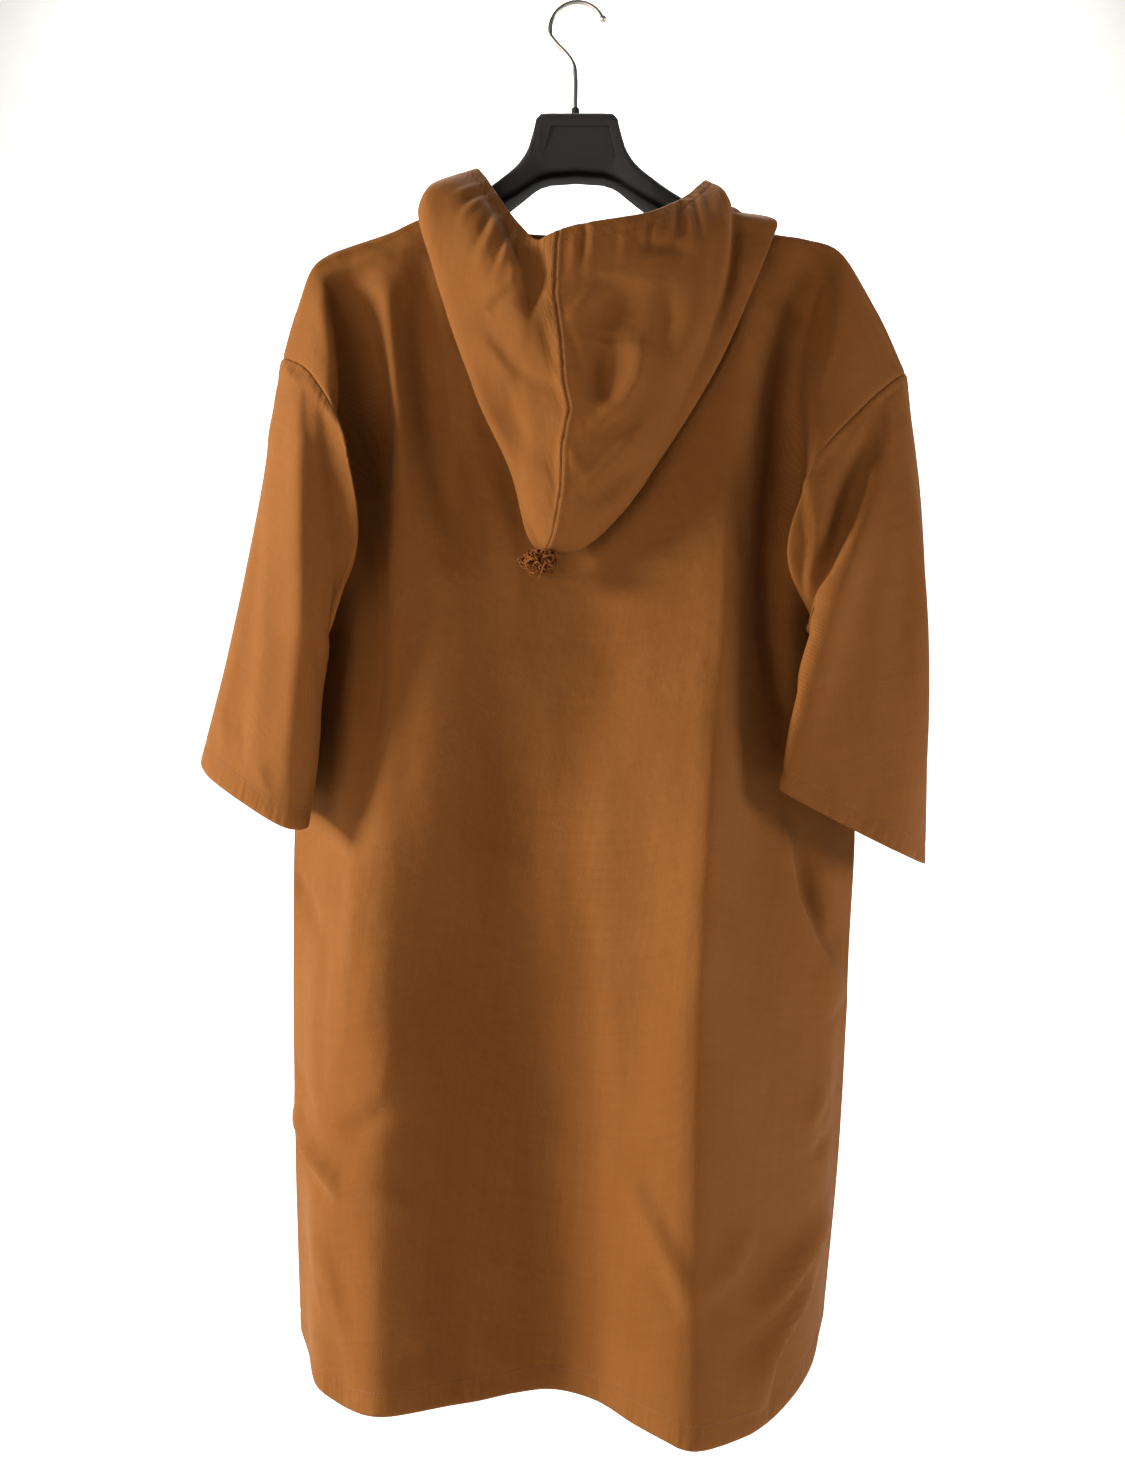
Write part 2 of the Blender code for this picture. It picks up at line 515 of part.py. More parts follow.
def clear_of_seams(grid, closed, ends):
    """Draws the sewn edges back by half the gap, within the cloth's own surface."""
    moved = grid.copy()
    moved[0] += inward(grid[0], grid[1])
    if not closed:
        for edge, inner in ends:
            moved[:, edge] += inward(grid[:, edge], grid[:, inner])
    return moved


def material(name, colour, roughness, metallic=0.0):
    made = bpy.data.materials.get(name) or bpy.data.materials.new(name)
    made.use_nodes = True
    shader = made.node_tree.nodes["Principled BSDF"]
    shader.inputs["Base Color"].default_value = (*colour, 1.0)
    shader.inputs["Roughness"].default_value = roughness
    shader.inputs["Metallic"].default_value = metallic
    return made


def add_mesh(name, points, faces, finish):
    mesh = bpy.data.meshes.new(name)
    mesh.from_pydata([tuple(point) for point in points], [], faces)
    mesh.shade_smooth()
    made = bpy.data.objects.new(name, mesh)
    bpy.context.scene.collection.objects.link(made)
    mesh.materials.append(material(*finish))
    return made


def add_wall(name, grid, drawn_back, offsets, closed, finish):
    """One closed wall on a grid. Quads that face each other, also over a seam, are split the same way."""
    rows, columns = grid.shape[:2]
    total = rows * columns
    wide = columns if closed else columns - 1
    points = np.vstack([(drawn_back + offsets).reshape(-1, 3), (drawn_back - offsets).reshape(-1, 3)])
    spots, aims = grid.reshape(-1, 3), offsets.reshape(-1, 3)

    def at(row, column):
        return row * columns + column % columns

    def skin(a, b, d, e):
        if np.linalg.norm(spots[a] - spots[d]) > np.linalg.norm(spots[b] - spots[e]):
            a, b, d, e = b, d, e, a
        outside = [(a, e, d), (a, d, b)]
        return outside + [tuple(total + corner for corner in corners[::-1]) for corners in outside]

    def rim(a, b):
        if np.dot(spots[a] - spots[b], aims[a] + aims[b]) < 0:
            return [(a, b, total + b), (a, total + b, total + a)]
        return [(a, b, total + a), (b, total + b, total + a)]

    faces = []
    for r in range(rows - 1):
        for c in range(wide):
            faces += skin(at(r, c), at(r, c + 1), at(r + 1, c + 1), at(r + 1, c))
    for c in range(wide):
        faces += rim(at(0, c), at(0, c + 1)) + rim(at(rows - 1, c + 1), at(rows - 1, c))
    for r in range(0 if closed else rows - 1):
        faces += rim(at(r + 1, 0), at(r, 0)) + rim(at(r, columns - 1), at(r + 1, columns - 1))
    return add_mesh(name, points, faces, finish)


def sew(pieces, finish):
    """Gives each grid its wall. Where edges meet, all take one direction, so that their walls can't cross."""
    meeting = {}
    for grid, closed, ends in pieces.values():
        normals = grid_normals(grid, closed).reshape(-1, 3)
        for point, normal in zip(np.round(grid, 6).reshape(-1, 3), normals):
            meeting.setdefault(tuple(point), []).append(normal)
    offset = {}
    for point, normals in meeting.items():
        mitre = np.linalg.pinv(np.array(normals), rcond=0.1) @ np.ones(len(normals))
        offset[point] = mitre * min(1.0, MITRE / np.linalg.norm(mitre))
    for name, (grid, closed, ends) in pieces.items():
        offsets = np.array([offset[tuple(point)] for point in np.round(grid, 6).reshape(-1, 3)])
        offsets = offsets.reshape(grid.shape)
        offsets *= (HOOD_CLOTH if name.startswith("hood") else CLOTH) / 2
        add_wall(name, grid, clear_of_seams(grid, closed, ends), offsets, closed, finish)


def add_hanger(finish):
    """The moulded hanger: a row of rounded sections from one end to the other."""
    points, faces = [], []
    places = [*-HANGER_OUT[:0:-1], *HANGER_OUT]
    turns = np.radians((0, 30, 60, 90))
    for x in places:
        top, low, depth = arm_top(x), arm_underside(x), arm_depth(x)
        if abs(x) == HANGER_OUT[-1]:
            depth -= END_TAPER
        corner = min(ARM_CORNER, (top - low) * CORNER_SHARE)
        for quarter, (side, height) in enumerate(((1, 1), (-1, 1), (-1, -1), (1, -1))):
            for angle in math.pi / 2 * quarter + turns:
                y = side * (depth - corner) + corner * math.cos(angle)
                z = (top - corner if height > 0 else low + corner) + corner * math.sin(angle)
                points.append((x, y, z))
    ring = 4 * len(turns)
    for i in range(len(places) - 1):
        for j in range(ring):
            a, b = i * ring + j, i * ring + (j + 1) % ring
            faces.append((a, b, b + ring, a + ring))
    faces.append(tuple(range(ring - 1, -1, -1)))
    faces.append(tuple(range((len(places) - 1) * ring, len(places) * ring)))
    return add_mesh("hanger", points, faces, finish)


def add_tube(name, path, radii, sides, finish):
    """A round bar along a path in the plane of the hanger, closed at both ends."""
    path = np.asarray(path, float)
    points, faces = [], []
    tangents = np.gradient(path, axis=0)
    for centre, tangent, radius in zip(path, tangents, radii):
        tangent = tangent / np.linalg.norm(tangent)
        across = np.cross(DEPTHWISE, tangent)
        for j in range(sides):
            angle = 2 * math.pi * j / sides
            points.append(centre + radius * (math.cos(angle) * across + math.sin(angle) * DEPTHWISE))
    for i in range(len(path) - 1):
        for j in range(sides):
            a, b = i * sides + j, i * sides + (j + 1) % sides
            faces.append((a, b, b + sides, a + sides))
    faces.append(tuple(range(sides - 1, -1, -1)))
    faces.append(tuple(range((len(path) - 1) * sides, len(path) * sides)))
    return add_mesh(name, points, faces, finish)


def add_hook(finish):
    """The wire: up from the plate, aside, round the curl and out to the ball at its tip."""
    turns = np.radians(np.arange(CURL_FROM, CURL_TO + 1, CURL_STEP))
    across, up = CURL_MIDDLE
    curl = [(across + HOOK_CURL * math.cos(a), up + HOOK_CURL * math.sin(a)) for a in turns]
    route = MM * np.array([(x, 0, z) for x, z in (*HOOK_SHAFT, *curl)])
    line = curve(route, spread(HOOK_STEPS + (1,) * len(curl)))
    onward = (line[-1] - line[-2]) / np.linalg.norm(line[-1] - line[-2])
    tip = [line[-1] + onward * along * MM for along, radius in HOOK_TIP]
    radii = [HOOK_WIRE / 2 * MM] * len(line) + [radius * MM for along, radius in HOOK_TIP]
    return add_tube("hanger_hook", [*line, *tip], radii, HOOK_SIDES, finish)


def add_collar(finish):
    """The small sleeve at the foot of the hook."""
    sides = COLLAR_SIDES
    points, faces = [], []
    for radius, z in COLLAR_RINGS:
        for j in range(sides):
            angle = 2 * math.pi * j / sides
            x = HOOK_SHAFT[0][0] + radius * math.cos(angle)
            points.append((x * MM, radius * math.sin(angle) * MM, z * MM))
    for i in range(len(COLLAR_RINGS)):
        for j in range(sides):
            a, b = i * sides + j, i * sides + (j + 1) % sides
            c, d = (a + sides) % len(points), (b + sides) % len(points)
            faces.append((a, b, d, c))
    return add_mesh("hanger_collar", points, faces, finish)


def half_way(points, known, a, b):
    """The number of the point half way between two corners of a ball, made once for both faces beside it."""
    key = (min(a, b), max(a, b))
    if key not in known:
        middle = points[a] + points[b]
        points.append(middle / np.linalg.norm(middle))
        known[key] = len(points) - 1
    return known[key]


def ball():
    """Points and faces of a ball with 80 like triangles."""
    golden = (1 + 5**0.5) / 2
    corners = [(side, golden * up, 0) for up in (1, -1) for side in (-1, 1)]
    corners += [(0, side, golden * up) for up in (1, -1) for side in (-1, 1)]
    corners += [(golden * out, 0, side) for out in (1, -1) for side in (-1, 1)]
    points = [np.array(corner) / np.linalg.norm(corner) for corner in corners]
    faces = [(0, 11, 5), (0, 5, 1), (0, 1, 7), (0, 7, 10), (0, 10, 11), (1, 5, 9), (5, 11, 4)]
    faces += [(11, 10, 2), (10, 7, 6), (7, 1, 8), (3, 9, 4), (3, 4, 2), (3, 2, 6), (3, 6, 8)]
    faces += [(3, 8, 9), (4, 9, 5), (2, 4, 11), (6, 2, 10), (8, 6, 7), (9, 8, 1)]
    known, split = {}, []
    for a, b, c in faces:
        ab, bc, ca = (half_way(points, known, *ends) for ends in ((a, b), (b, c), (c, a)))
        split += [(a, ab, ca), (b, bc, ab), (c, ca, bc), (ab, bc, ca)]
    return points, split


def add_pompom(finish):
    """A ball of yarn ends: each face of a small head grows one three-sided strand."""
    points, faces = ball()
    centre, head, reach = np.array(POMPOM_CENTRE), POMPOM_HEAD, POMPOM_REACH
    solid = [centre + head * point for point in points]
    made = []
    for number, face in enumerate(faces):
        middle = sum(points[i] for i in face) / 3
        aim = np.array((middle[0], middle[1], min(middle[2], STRAND_RISE * middle[2])))
        length = reach * (1 - STRAND_UNEVEN * (1 - math.sin(number * 2.4)))
        sway = np.array((math.sin(number * 1.7), math.cos(number * 2.9), 0.0)) * reach * STRAND_SWAY
        end = head * middle + aim * (length - head) + sway
        solid += [centre + head * (middle + (points[i] - middle) * STRAND_FOOT) for i in face]
        solid += [centre + end + head * (points[i] - middle) * STRAND_END for i in face]
        first = len(solid) - 6
        for j in range(3):
            k = (j + 1) % 3
            made += [(face[j], face[k], first + k, first + j)]
            made += [(first + j, first + k, first + 3 + k, first + 3 + j)]
        made.append((first + 3, first + 4, first + 5))
    return add_mesh("hood_pompom", solid, made, finish)


BROWN_CLOTH = ("brown_cloth", (0.36, 0.165, 0.055), 0.85)
DARK_PLASTIC = ("dark_plastic", (0.035, 0.036, 0.040), 0.45)
BRIGHT_STEEL = ("bright_steel", (0.75, 0.75, 0.76), 0.20, 1.0)

for old in list(bpy.data.objects):
    bpy.data.objects.remove(old)
back, front = panels()
both_ends = ((0, 1), (-1, -2))
sew(
    {
        "back": (back, False, both_ends),
        "front": (front[:, ::-1], False, both_ends),
        "sleeve_left": (sleeve("left", back, front), True, ()),
        "sleeve_right": (sleeve("right", back, front), True, ()),
        "hood_left": (hood("left", back, front), False, both_ends),
        "hood_right": (hood("right", back, front), False, both_ends),
    },
    BROWN_CLOTH,
)
add_pompom(BROWN_CLOTH)
add_hanger(DARK_PLASTIC)
add_collar(DARK_PLASTIC)
add_hook(BRIGHT_STEEL)
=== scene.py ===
import math

import bmesh
import bpy
import numpy as np
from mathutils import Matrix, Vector


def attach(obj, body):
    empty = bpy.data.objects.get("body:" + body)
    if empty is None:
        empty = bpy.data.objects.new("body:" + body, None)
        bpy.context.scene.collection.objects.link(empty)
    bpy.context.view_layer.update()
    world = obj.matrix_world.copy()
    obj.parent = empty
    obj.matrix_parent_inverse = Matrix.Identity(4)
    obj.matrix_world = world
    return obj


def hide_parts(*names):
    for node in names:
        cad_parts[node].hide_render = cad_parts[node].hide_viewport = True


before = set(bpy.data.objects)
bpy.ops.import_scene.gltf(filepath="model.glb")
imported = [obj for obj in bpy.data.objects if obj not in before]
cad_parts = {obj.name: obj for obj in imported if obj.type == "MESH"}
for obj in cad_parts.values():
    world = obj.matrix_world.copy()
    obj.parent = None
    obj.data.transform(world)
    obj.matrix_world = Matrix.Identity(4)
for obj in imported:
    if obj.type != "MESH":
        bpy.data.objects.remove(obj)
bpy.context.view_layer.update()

# A brown cotton robe with a pointed hood, on a moulded hanger. Metres, +Z up; the robe's back faces +Y.
# The tables of points and the heights beside them are in millimetres, which MM turns to metres.
MM = 0.001

# The photograph's frame, and where its camera stands: level, behind the robe.
PHOTO_SIZE = (1125, 1462)
PHOTO_FOCUS = 1310  # the focal length in pixels
CAMERA_PLACE = (0.012, 1.10, -0.610)
SENSOR = 36.0  # millimetres

# The cloth and how it is sewn.
CLOTH = 0.0011  # thickness of the woven cotton as it shows
REST = 0.0028  # from the hanger's surface to the middle of the cloth that it carries
SEAM_DIP, SEAM_REACH = 0.0009, 0.0024  # how far a sewn edge sinks, and over what width
SEAM_THIN = 0.2  # the share of its thickness that the cloth keeps at a sewn edge
CREASE_MARGIN = 0.010  # creases fade out this near to a sewn edge
HEM_DEPTH = 0.0190  # the turned band of the hem and the cuffs
FACE_DEPTH = 0.0130  # the turned band of the hood's face edge
BAND_PLIES, PLY_STEP = 1.1, 0.0012  # cloths that a band adds inside, and the width of the step up to them
TIP_SHARE, TIP_REACH = 0.15, 0.0012  # the folded edge rounds off to this share, over this width
STITCH_INSET = 0.0018  # from a band's inner edge to its row of stitches
GROOVE_DEPTH, GROOVE_REACH = 0.0004, 0.0013  # how far those stitches pull the cloth in, and over what width
STITCH, STITCH_STEP = 0.0023, 0.0032  # the length of a stitch, and from one to the next
THREAD, THREAD_SIDES = 0.00032, 6  # the thread's radius, and the sides of a stitch
STITCH_RINGS = ((0.0, 0.35), (0.25, 1.0), (0.75, 1.0), (1.0, 0.35))  # share along a stitch, and of its radius
PUCKER_NEAR, PUCKER_FADE = 0.004, 0.012  # the cloth gathers this near to a seam or a hem, and fades over this
THREAD_SPACING = 0.70  # millimetres between woven threads, a little coarser than real, so that they show
BANDS = 3.2  # how many bands a wave texture of scale 1 has in a metre

# Heights at which the body's fold lines are given, and the further heights that are read in between.
YOKE_Z, CHEST_Z, UNDERARM_Z, WAIST_Z = -270, -380, -500, -800
RIB_Z, BELOW_ARM_Z, HIP_Z, THIGH_Z = -440, -530, -650, -960

# The hanger's arm: distance from its middle, and the heights of its top and its underside there.
HANGER_PROFILE = (
    # out, top, underside
    (0, -94.5, -148),
    (22, -94.5, -149.5),
    (30, -94.8, -152),
    (34, -99.5, -154),
    (36, -108.5, -155.2),
    (40, -123, -158.2),
    (48, -137, -164),
    (59, -148, -171.5),
    (72, -158, -179.5),
    (90, -169.5, -189.5),
    (110, -181.5, -201),
    (130, -191, -210.5),
    (160, -202.2, -220.5),
    (185, -210.5, -229),
    (202, -216.5, -233.5),
    (209, -221, -233),
    (212.5, -225.5, -231),
)
HANGER_OUT, HANGER_TOP, HANGER_UNDERSIDE = np.array(HANGER_PROFILE).T * MM
ARM_HALF_DEPTH = 0.0190
PLATE_HALF_DEPTH = 0.0130
PLATE_OUT, ARM_OUT = 0.030, 0.062  # the hanger thickens between these distances from its middle
ARM_CORNER, CORNER_STEPS = 0.0070, 5  # the rounding of its long edges
CORNER_SHARE = 0.44  # the most of the arm's height that a rounding takes
ROUND_SHARE = 0.9  # under the cloth a corner takes at most this share of the arm's half height
END_TAPER = 0.0040
ARM_BEND = (5, 14)  # the rows between which its sections lie closer, four to a row
HANGER_STEPS = np.unique(np.concatenate([
    np.arange(len(HANGER_PROFILE)), np.linspace(*ARM_BEND, 4 * (ARM_BEND[1] - ARM_BEND[0]) + 1)
]))

# Fold lines of the back, from the wearer's left: across and out at each height, and the hem's height.
BACK_FOLDS = (
    # name, yoke, chest, underarm, waist, hem, hem height
    ("left_cap", (198.6, 40), (178.5, 50), (188, 28), (207, 44), (199, 80), -1120),
    ("left_recess", (180, 26), (174, 34), (171, 42), (177, 70), (174, 95), -1125),
    ("left_ridge", (153.2, 40), (143.2, 54), (134, 61), (145, 90), (145.5, 124), -1120),
    ("left_shoulder", (128, 30), (111, 40), (98, 55), (100, 77), (94, 101), -1124),
    ("left_nape", (108, 29), (95, 38), (84, 52), (84, 72), (76, 95), -1124),
    ("left_mid", (75, 28), (68, 36), (60, 48.5), (58, 66), (49, 88), -1121.5),
    ("left_valley", (40, 28), (38, 35.5), (33, 47), (29, 64), (21, 85), -1120),
    ("centre", (0, 30), (-2, 39), (-6, 54), (-9, 78), (-12, 105), -1118),
    ("right_mid", (-45, 33), (-48, 46), (-50, 65), (-44, 101), (-41, 135), -1121),
    ("right_inner", (-85, 35), (-86, 52), (-85, 74), (-69, 121), (-62, 156), -1122),
    ("right_nape", (-112, 37), (-108, 56), (-104, 79), (-82, 129), (-73, 163), -1124),
    ("right_shoulder", (-135.7, 40), (-125, 59), (-116.9, 80), (-92, 130), (-85, 164), -1125),
    ("right_ridge", (-165.6, 30), (-155.9, 40), (-144, 55), (-141, 85), (-134, 126), -1129),
    ("right_recess", (-191.7, 23), (-175.4, 30), (-168.9, 37), (-186, 45), (-165, 90), -1124),
    ("right_cap", (-207.9, 38), (-178.5, 50), (-186, 26), (-207, 30), (-190, 42), -1120),
)
# Fold lines of the front, which is plainer.
FRONT_FOLDS = (
    # name, yoke, chest, underarm, waist, hem, hem height
    ("left_cap", (202, -36), (180, -40), (187, -20), (213, -42), (208, -50), -1114),
    ("left_recess", (182, -27), (178, -33), (177, -35), (182, -69), (178, -86), -1112),
    ("left_ridge", (158, -34), (152, -43), (146, -54), (140, -82), (134, -108), -1111),
    ("left_shoulder", (133, -30), (126, -36), (116, -43), (108, -64), (100, -85), -1109),
    ("left_nape", (116, -31), (108, -37), (98, -43), (89, -61), (80, -79), -1108),
    ("left_mid", (80, -40), (74, -44), (68, -49), (60, -64), (52, -80), -1108),
    ("left_valley", (43, -45), (40, -51), (36, -59), (30, -80), (25, -100), -1109),
    ("centre", (0, -48), (0, -56), (-2, -65), (-4, -88), (-6, -112), -1110),
    ("right_mid", (-43, -45), (-40, -50), (-38, -57), (-37, -74), (-37, -91), -1108),
    ("right_inner", (-80, -40), (-74, -43), (-70, -47), (-67, -62), (-65, -77), -1107),
    ("right_nape", (-116, -31), (-108, -37), (-101, -44), (-95, -66), (-90, -84), -1107),
    ("right_shoulder", (-133, -30), (-127, -38), (-119, -48), (-112, -74), (-106, -96), -1108),
    ("right_ridge", (-160, -33), (-154, -43), (-148, -55), (-140, -83), (-131, -107), -1109),
    ("right_recess", (-186, -27), (-180, -32), (-176, -35), (-179, -64), (-166, -80), -1109),
    ("right_cap", (-206, -34), (-181, -40), (-187, -20), (-208, -38), (-192, -45), -1108),
)
# Where the lines near the sleeves leave the shoulder seam, along the hanger's arm. The neck opening ends at
# the shoulder line. On the right the cloth rides higher over the arm.
TOPS_OUT = {"cap": 216, "recess": 189, "ridge": 159, "shoulder": 122}
RIGHT_LIFT = {"cap": 11, "recess": 7, "ridge": 2, "shoulder": 0}
# How such a line passes over the arm, from the shoulder seam: behind the arm's middle, and down from its top.
OVER_ARM = {
    "back": ((10, 0), (18.7, 3), (21.8, 10)),
    "front": ((10, 0), (-11, 0), (-18.7, 3), (-21.8, 10)),
}
FAN = (1.0, 1.022, 1.036, 1.046)  # the front's shoulder line leans outward by these shares as it turns over

# The armhole seam of each side, from the top of the sleeve to the underarm.
SLEEVE_TOP = {"left": (246.8, 4, -298.4), "right": (-275.7, 4, -311)}
UNDERARM = {"left": (212, 10, -496), "right": (-212, 10, -496)}
ARMHOLE = {
    "left back": ((237, 20, -304), (211.5, 48, -326), (185, 70, -372), (185, 58, -435)),
    "left front": ((240, -14, -306), (223, -38, -325), (198, -56, -372), (190, -47, -435)),
    "right back": ((-264, 20, -319), (-225, 50, -354), (-184, 72, -400), (-186, 56, -448)),
    "right front": ((-268, -14, -319), (-245, -40, -340), (-210, -56, -385), (-195, -46, -442)),
}
# The line of the body that follows just inside the armhole.
BESIDE_ARMHOLE = {
    "left back": (
        (234.5, 7, -260), (226, 26, -272), (207, 46, -298), (182, 60, -375), (184.5, 48, -438),
        (200, 19, -502),
    ),
    "left front": (
        (234.5, 7, -260), (231, -20, -272), (213, -39, -298), (190.5, -49, -376), (188, -40, -438),
        (202, -2, -502),
    ),
    "right back": (
        (-251, 7, -260), (-240, 27, -276), (-214, 47, -308), (-181.5, 62, -392), (-185, 47, -445),
        (-199, 18, -502),
    ),
    "right front": (
        (-251, 7, -260), (-248, -19, -274), (-226, -39, -305), (-199, -49, -384), (-190.5, -40, -442),
        (-201, -2, -502),
    ),
}
# The side seam below the underarm: across and out at the heights from BELOW_ARM_Z to the hem.
SIDE_SEAM = {
    "left": ((213, 3), (235, -4), (240.5, -10), (239, -11), (234, -10)),
    "right": ((-204, 3), (-233, -4), (-231, -10), (-223, -11), (-209, -10)),
}
SIDE_HEM_Z = {"left": -1116, "right": -1104}

# The neckline from beside the shoulder seam to the middle, on the left; the right is its mirror image.
BACK_NECK = ((115, 26.2, -198.5), (80, 26.2, -207), (40, 27.5, -213), (0, 28.5, -215))
FRONT_NECK = ((113, -26.5, -206), (80, -36, -235), (43, -43, -257), (0, -46, -264))

NECK_SHARES = {"back": (0.0, 0.15, 0.40), "front": (0.0, 0.10, 0.25, 0.50)}  # rows from there to the yoke
# Two lines of the front where the neckline turns down over the hanger's edge: their share of the way to the
# next fold line, and their first points as out, behind and drop from the arm's top.
FRONT_NECK_TURNS = (
    (0.3, ((121, -10, 0), (122.6, -16.8, 1.2), (124, -20.7, 6), (125.3, -22.2, 13.5))),
    (0.6, ((119, -19, 3.2), (120.6, -21.3, 8.5), (122.2, -22.3, 14), (124, -23.2, 24))),
)

# Lines down each sleeve, in order around it: their places at four rings between the armhole and the cuff.
SLEEVES = {
    "left": {
        "outer": ((260, 2, -375), (277.5, 0, -470), (296, -2, -560), (316.5, -8, -636)),
        "back_upper": ((250, 30, -385), (267, 34, -476), (284, 35, -568), (302, 30, -647)),
        "back_middle": ((218, 58, -402), (233, 63, -490), (251, 62, -583), (269, 60, -665)),
        "back_ridge": ((175, 74, -442), (191, 70, -514), (209, 67, -558), (226.5, 70, -687)),
        "inner": ((179, 64, -478), (206, 55, -536), (212, 50, -588), (216, 56, -686)),
        "underarm": ((231, 14.5, -508), (232, 22, -562), (236, 26, -615), (239, 22, -672)),
        "front_lower": ((203, -50, -490), (220, -46, -550), (236, -40, -612), (246, -34, -676)),
        "front_ridge": ((208, -66, -450), (226, -64, -525), (246, -58, -602), (264, -52, -673)),
        "front_middle": ((234, -50, -410), (251, -52, -500), (270, -50, -587), (288, -46, -660)),
        "front_upper": ((253, -24, -390), (270, -27, -482), (288, -29, -572), (307, -30, -647)),
    },
    "right": {
        "outer": ((-283.5, 2, -390), (-289.5, 0, -490), (-292.5, -4, -600), (-294, -8, -722)),
        "back_upper": ((-270, 36, -400), (-268, 44, -495), (-264, 46, -600), (-258, 46, -708)),
        "back_middle": ((-224, 65, -428), (-204.5, 79, -486), (-181, 88, -560), (-155.7, 90, -655.5)),
        "back_ridge": ((-165, 78, -468), (-190, 68, -524), (-187, 70, -590), (-172, 73, -660)),
        "inner": ((-174, 64, -490), (-196, 54, -540), (-198, 52, -598), (-193, 55, -668)),
        "underarm": ((-231, 14.5, -508), (-234, 19, -562), (-239, 15, -620), (-241, 10, -695)),
        "front_lower": ((-206, -48, -500), (-222, -45, -560), (-238, -40, -625), (-248, -34, -700)),
        "front_ridge": ((-222, -64, -460), (-236, -62, -545), (-250, -56, -625), (-262, -48, -706)),
        "front_middle": ((-254, -50, -430), (-262, -52, -520), (-270, -48, -615), (-277, -42, -714)),
        "front_upper": ((-276, -24, -402), (-281, -29, -498), (-284, -29, -600), (-288, -28, -718)),
    },
}

# The hood, from its middle seam round to the shoulder seam. The columns follow the cloth from the neck seam:
# rise and turn on the short stand, inner down the layer that lies on the back, under and foot round the
# lower fold, then ridge and crown up to the rim, which is the face edge.
HOOD_MIDDLE = (
    (0, 30, -208), (0, 37.5, -209.5), (10, 48, -330), (27, 60, -468), (28.3, 69, -470), (26.5, 80, -458),
    (19, 96, -335), (14, 85, -221.5),
)
HOOD_BACK = {
    "left": (
        # place along the neckline, then the columns
        (1, (
            (13.5, 30, -207.8), (13.5, 37, -209.3), (24, 47, -325), (37, 58.5, -456), (38.5, 67, -457),
            (37, 77, -445), (28, 95, -328), (20, 84.5, -224),
        )),
        (3, (
            (40, 29, -206), (40, 36, -207.5), (46, 43, -300), (51, 55.5, -406), (52.5, 64, -406),
            (49.5, 74, -393), (42, 92, -305), (31, 80, -226.5),
        )),
        (6, (
            (84, 27.7, -201), (84.2, 34.7, -202), (83, 40, -265), (78, 50, -337), (80, 59, -337),
            (75.5, 68, -325), (62, 82, -268), (45.6, 66, -210),
        )),
        (9, (
            (115.5, 29, -190), (117, 36, -190.5), (116.5, 42, -220), (111, 46, -249), (112.5, 55, -248),
            (108, 62, -238), (88, 64, -210), (65, 42, -176),
        )),
        (10.5, (
            (120.2, 22.5, -182.5), (123, 26.5, -179), (127.5, 30.5, -182), (129, 36, -188),
            (125.5, 44, -184), (119, 46.5, -176), (99, 42, -166), (75, 30, -157),
        )),
        (12, (
            (122.8, 11, -178), (123.5, 12.5, -173), (123.2, 14.5, -168.5), (122, 17, -165),
            (119.5, 19, -162), (115.5, 20.5, -159.5), (100, 22.5, -153), (82, 22, -147),
        )),
    ),
    "right": (
        (1, (
            (-13.5, 30, -207.8), (-13.5, 37, -209.3), (-15, 50, -325), (-2, 60, -463), (-3.5, 69, -465),
            (-3, 80, -452), (-1, 96, -330), (4, 84.5, -218),
        )),
        (3, (
            (-40, 29, -206), (-40, 36, -207.5), (-43, 49, -300), (-47, 60.5, -418), (-49, 69.5, -418),
            (-45.5, 79, -404), (-36, 95, -310), (-17, 84, -213.7),
        )),
        (6, (
            (-84, 27.7, -201), (-84.5, 34.7, -202), (-96, 46, -265), (-108, 55, -325), (-95, 66, -316),
            (-96.5, 75.5, -316), (-79, 88, -265), (-56.8, 74, -203),
        )),
        (9, (
            (-115.8, 29, -190), (-119, 36, -190.5), (-131, 41, -218), (-145, 46, -243), (-114, 56, -232),
            (-117.5, 65.5, -233), (-111, 69, -211), (-88, 48, -179.5),
        )),
        (10.5, (
            (-120.5, 22.5, -183), (-126.5, 28, -182), (-138, 33, -195), (-157, 36, -213), (-119, 47, -205),
            (-122, 56, -206), (-114, 57, -190), (-98, 39, -168),
        )),
        (12, (
            (-123.2, 12, -178.5), (-128, 14.5, -177.5), (-141, 19.5, -186), (-163, 25, -191),
            (-127, 38.5, -190), (-124, 48, -187), (-117, 45, -174), (-104.4, 30, -160),
        )),
    ),
}
# Over the shoulder and down the front the hood is a plain standing collar: its widest place and its edge.
HOOD_FRONT = {
    "left": (
        (13, ((128, -3, -162), (83, 9, -146))),
        (14, ((128, -15, -164), (82.5, -6, -147))),
        (15, ((123, -34, -172), (79, -21, -153))),
        (16, ((93, -48, -200), (58, -41, -183))),
        (18, ((48, -57, -233), (30, -52, -214))),
    ),
    "right": (
        (13, ((-140, -3, -180), (-103.5, 13, -158))),
        (14, ((-136, -15, -183), (-99, -4, -157))),
        (15, ((-123, -34, -176), (-90, -23, -160))),
        (16, ((-95, -49, -203), (-64, -42, -185))),
        (18, ((-48, -57, -233), (-32, -52, -214))),
    ),
}
HOOD_FRONT_MIDDLE = (19, ((0, -60, -250), (0, -56, -240)))

# The plate's recess, between its upper corners and its lower ones. Its floor rises to the surface lower down.
RECESS_TOP, RECESS_LOW = (-0.0266, 0.0215), (-0.0330, 0.0290)
RECESS_HEIGHTS, RECESS_DEPTH = (-0.1078, -0.1350), 0.0011
CUTTER_CLEAR, CUTTER_PROUD = 0.00002, 0.004  # how far its cutter's foot and its outer side clear the plate

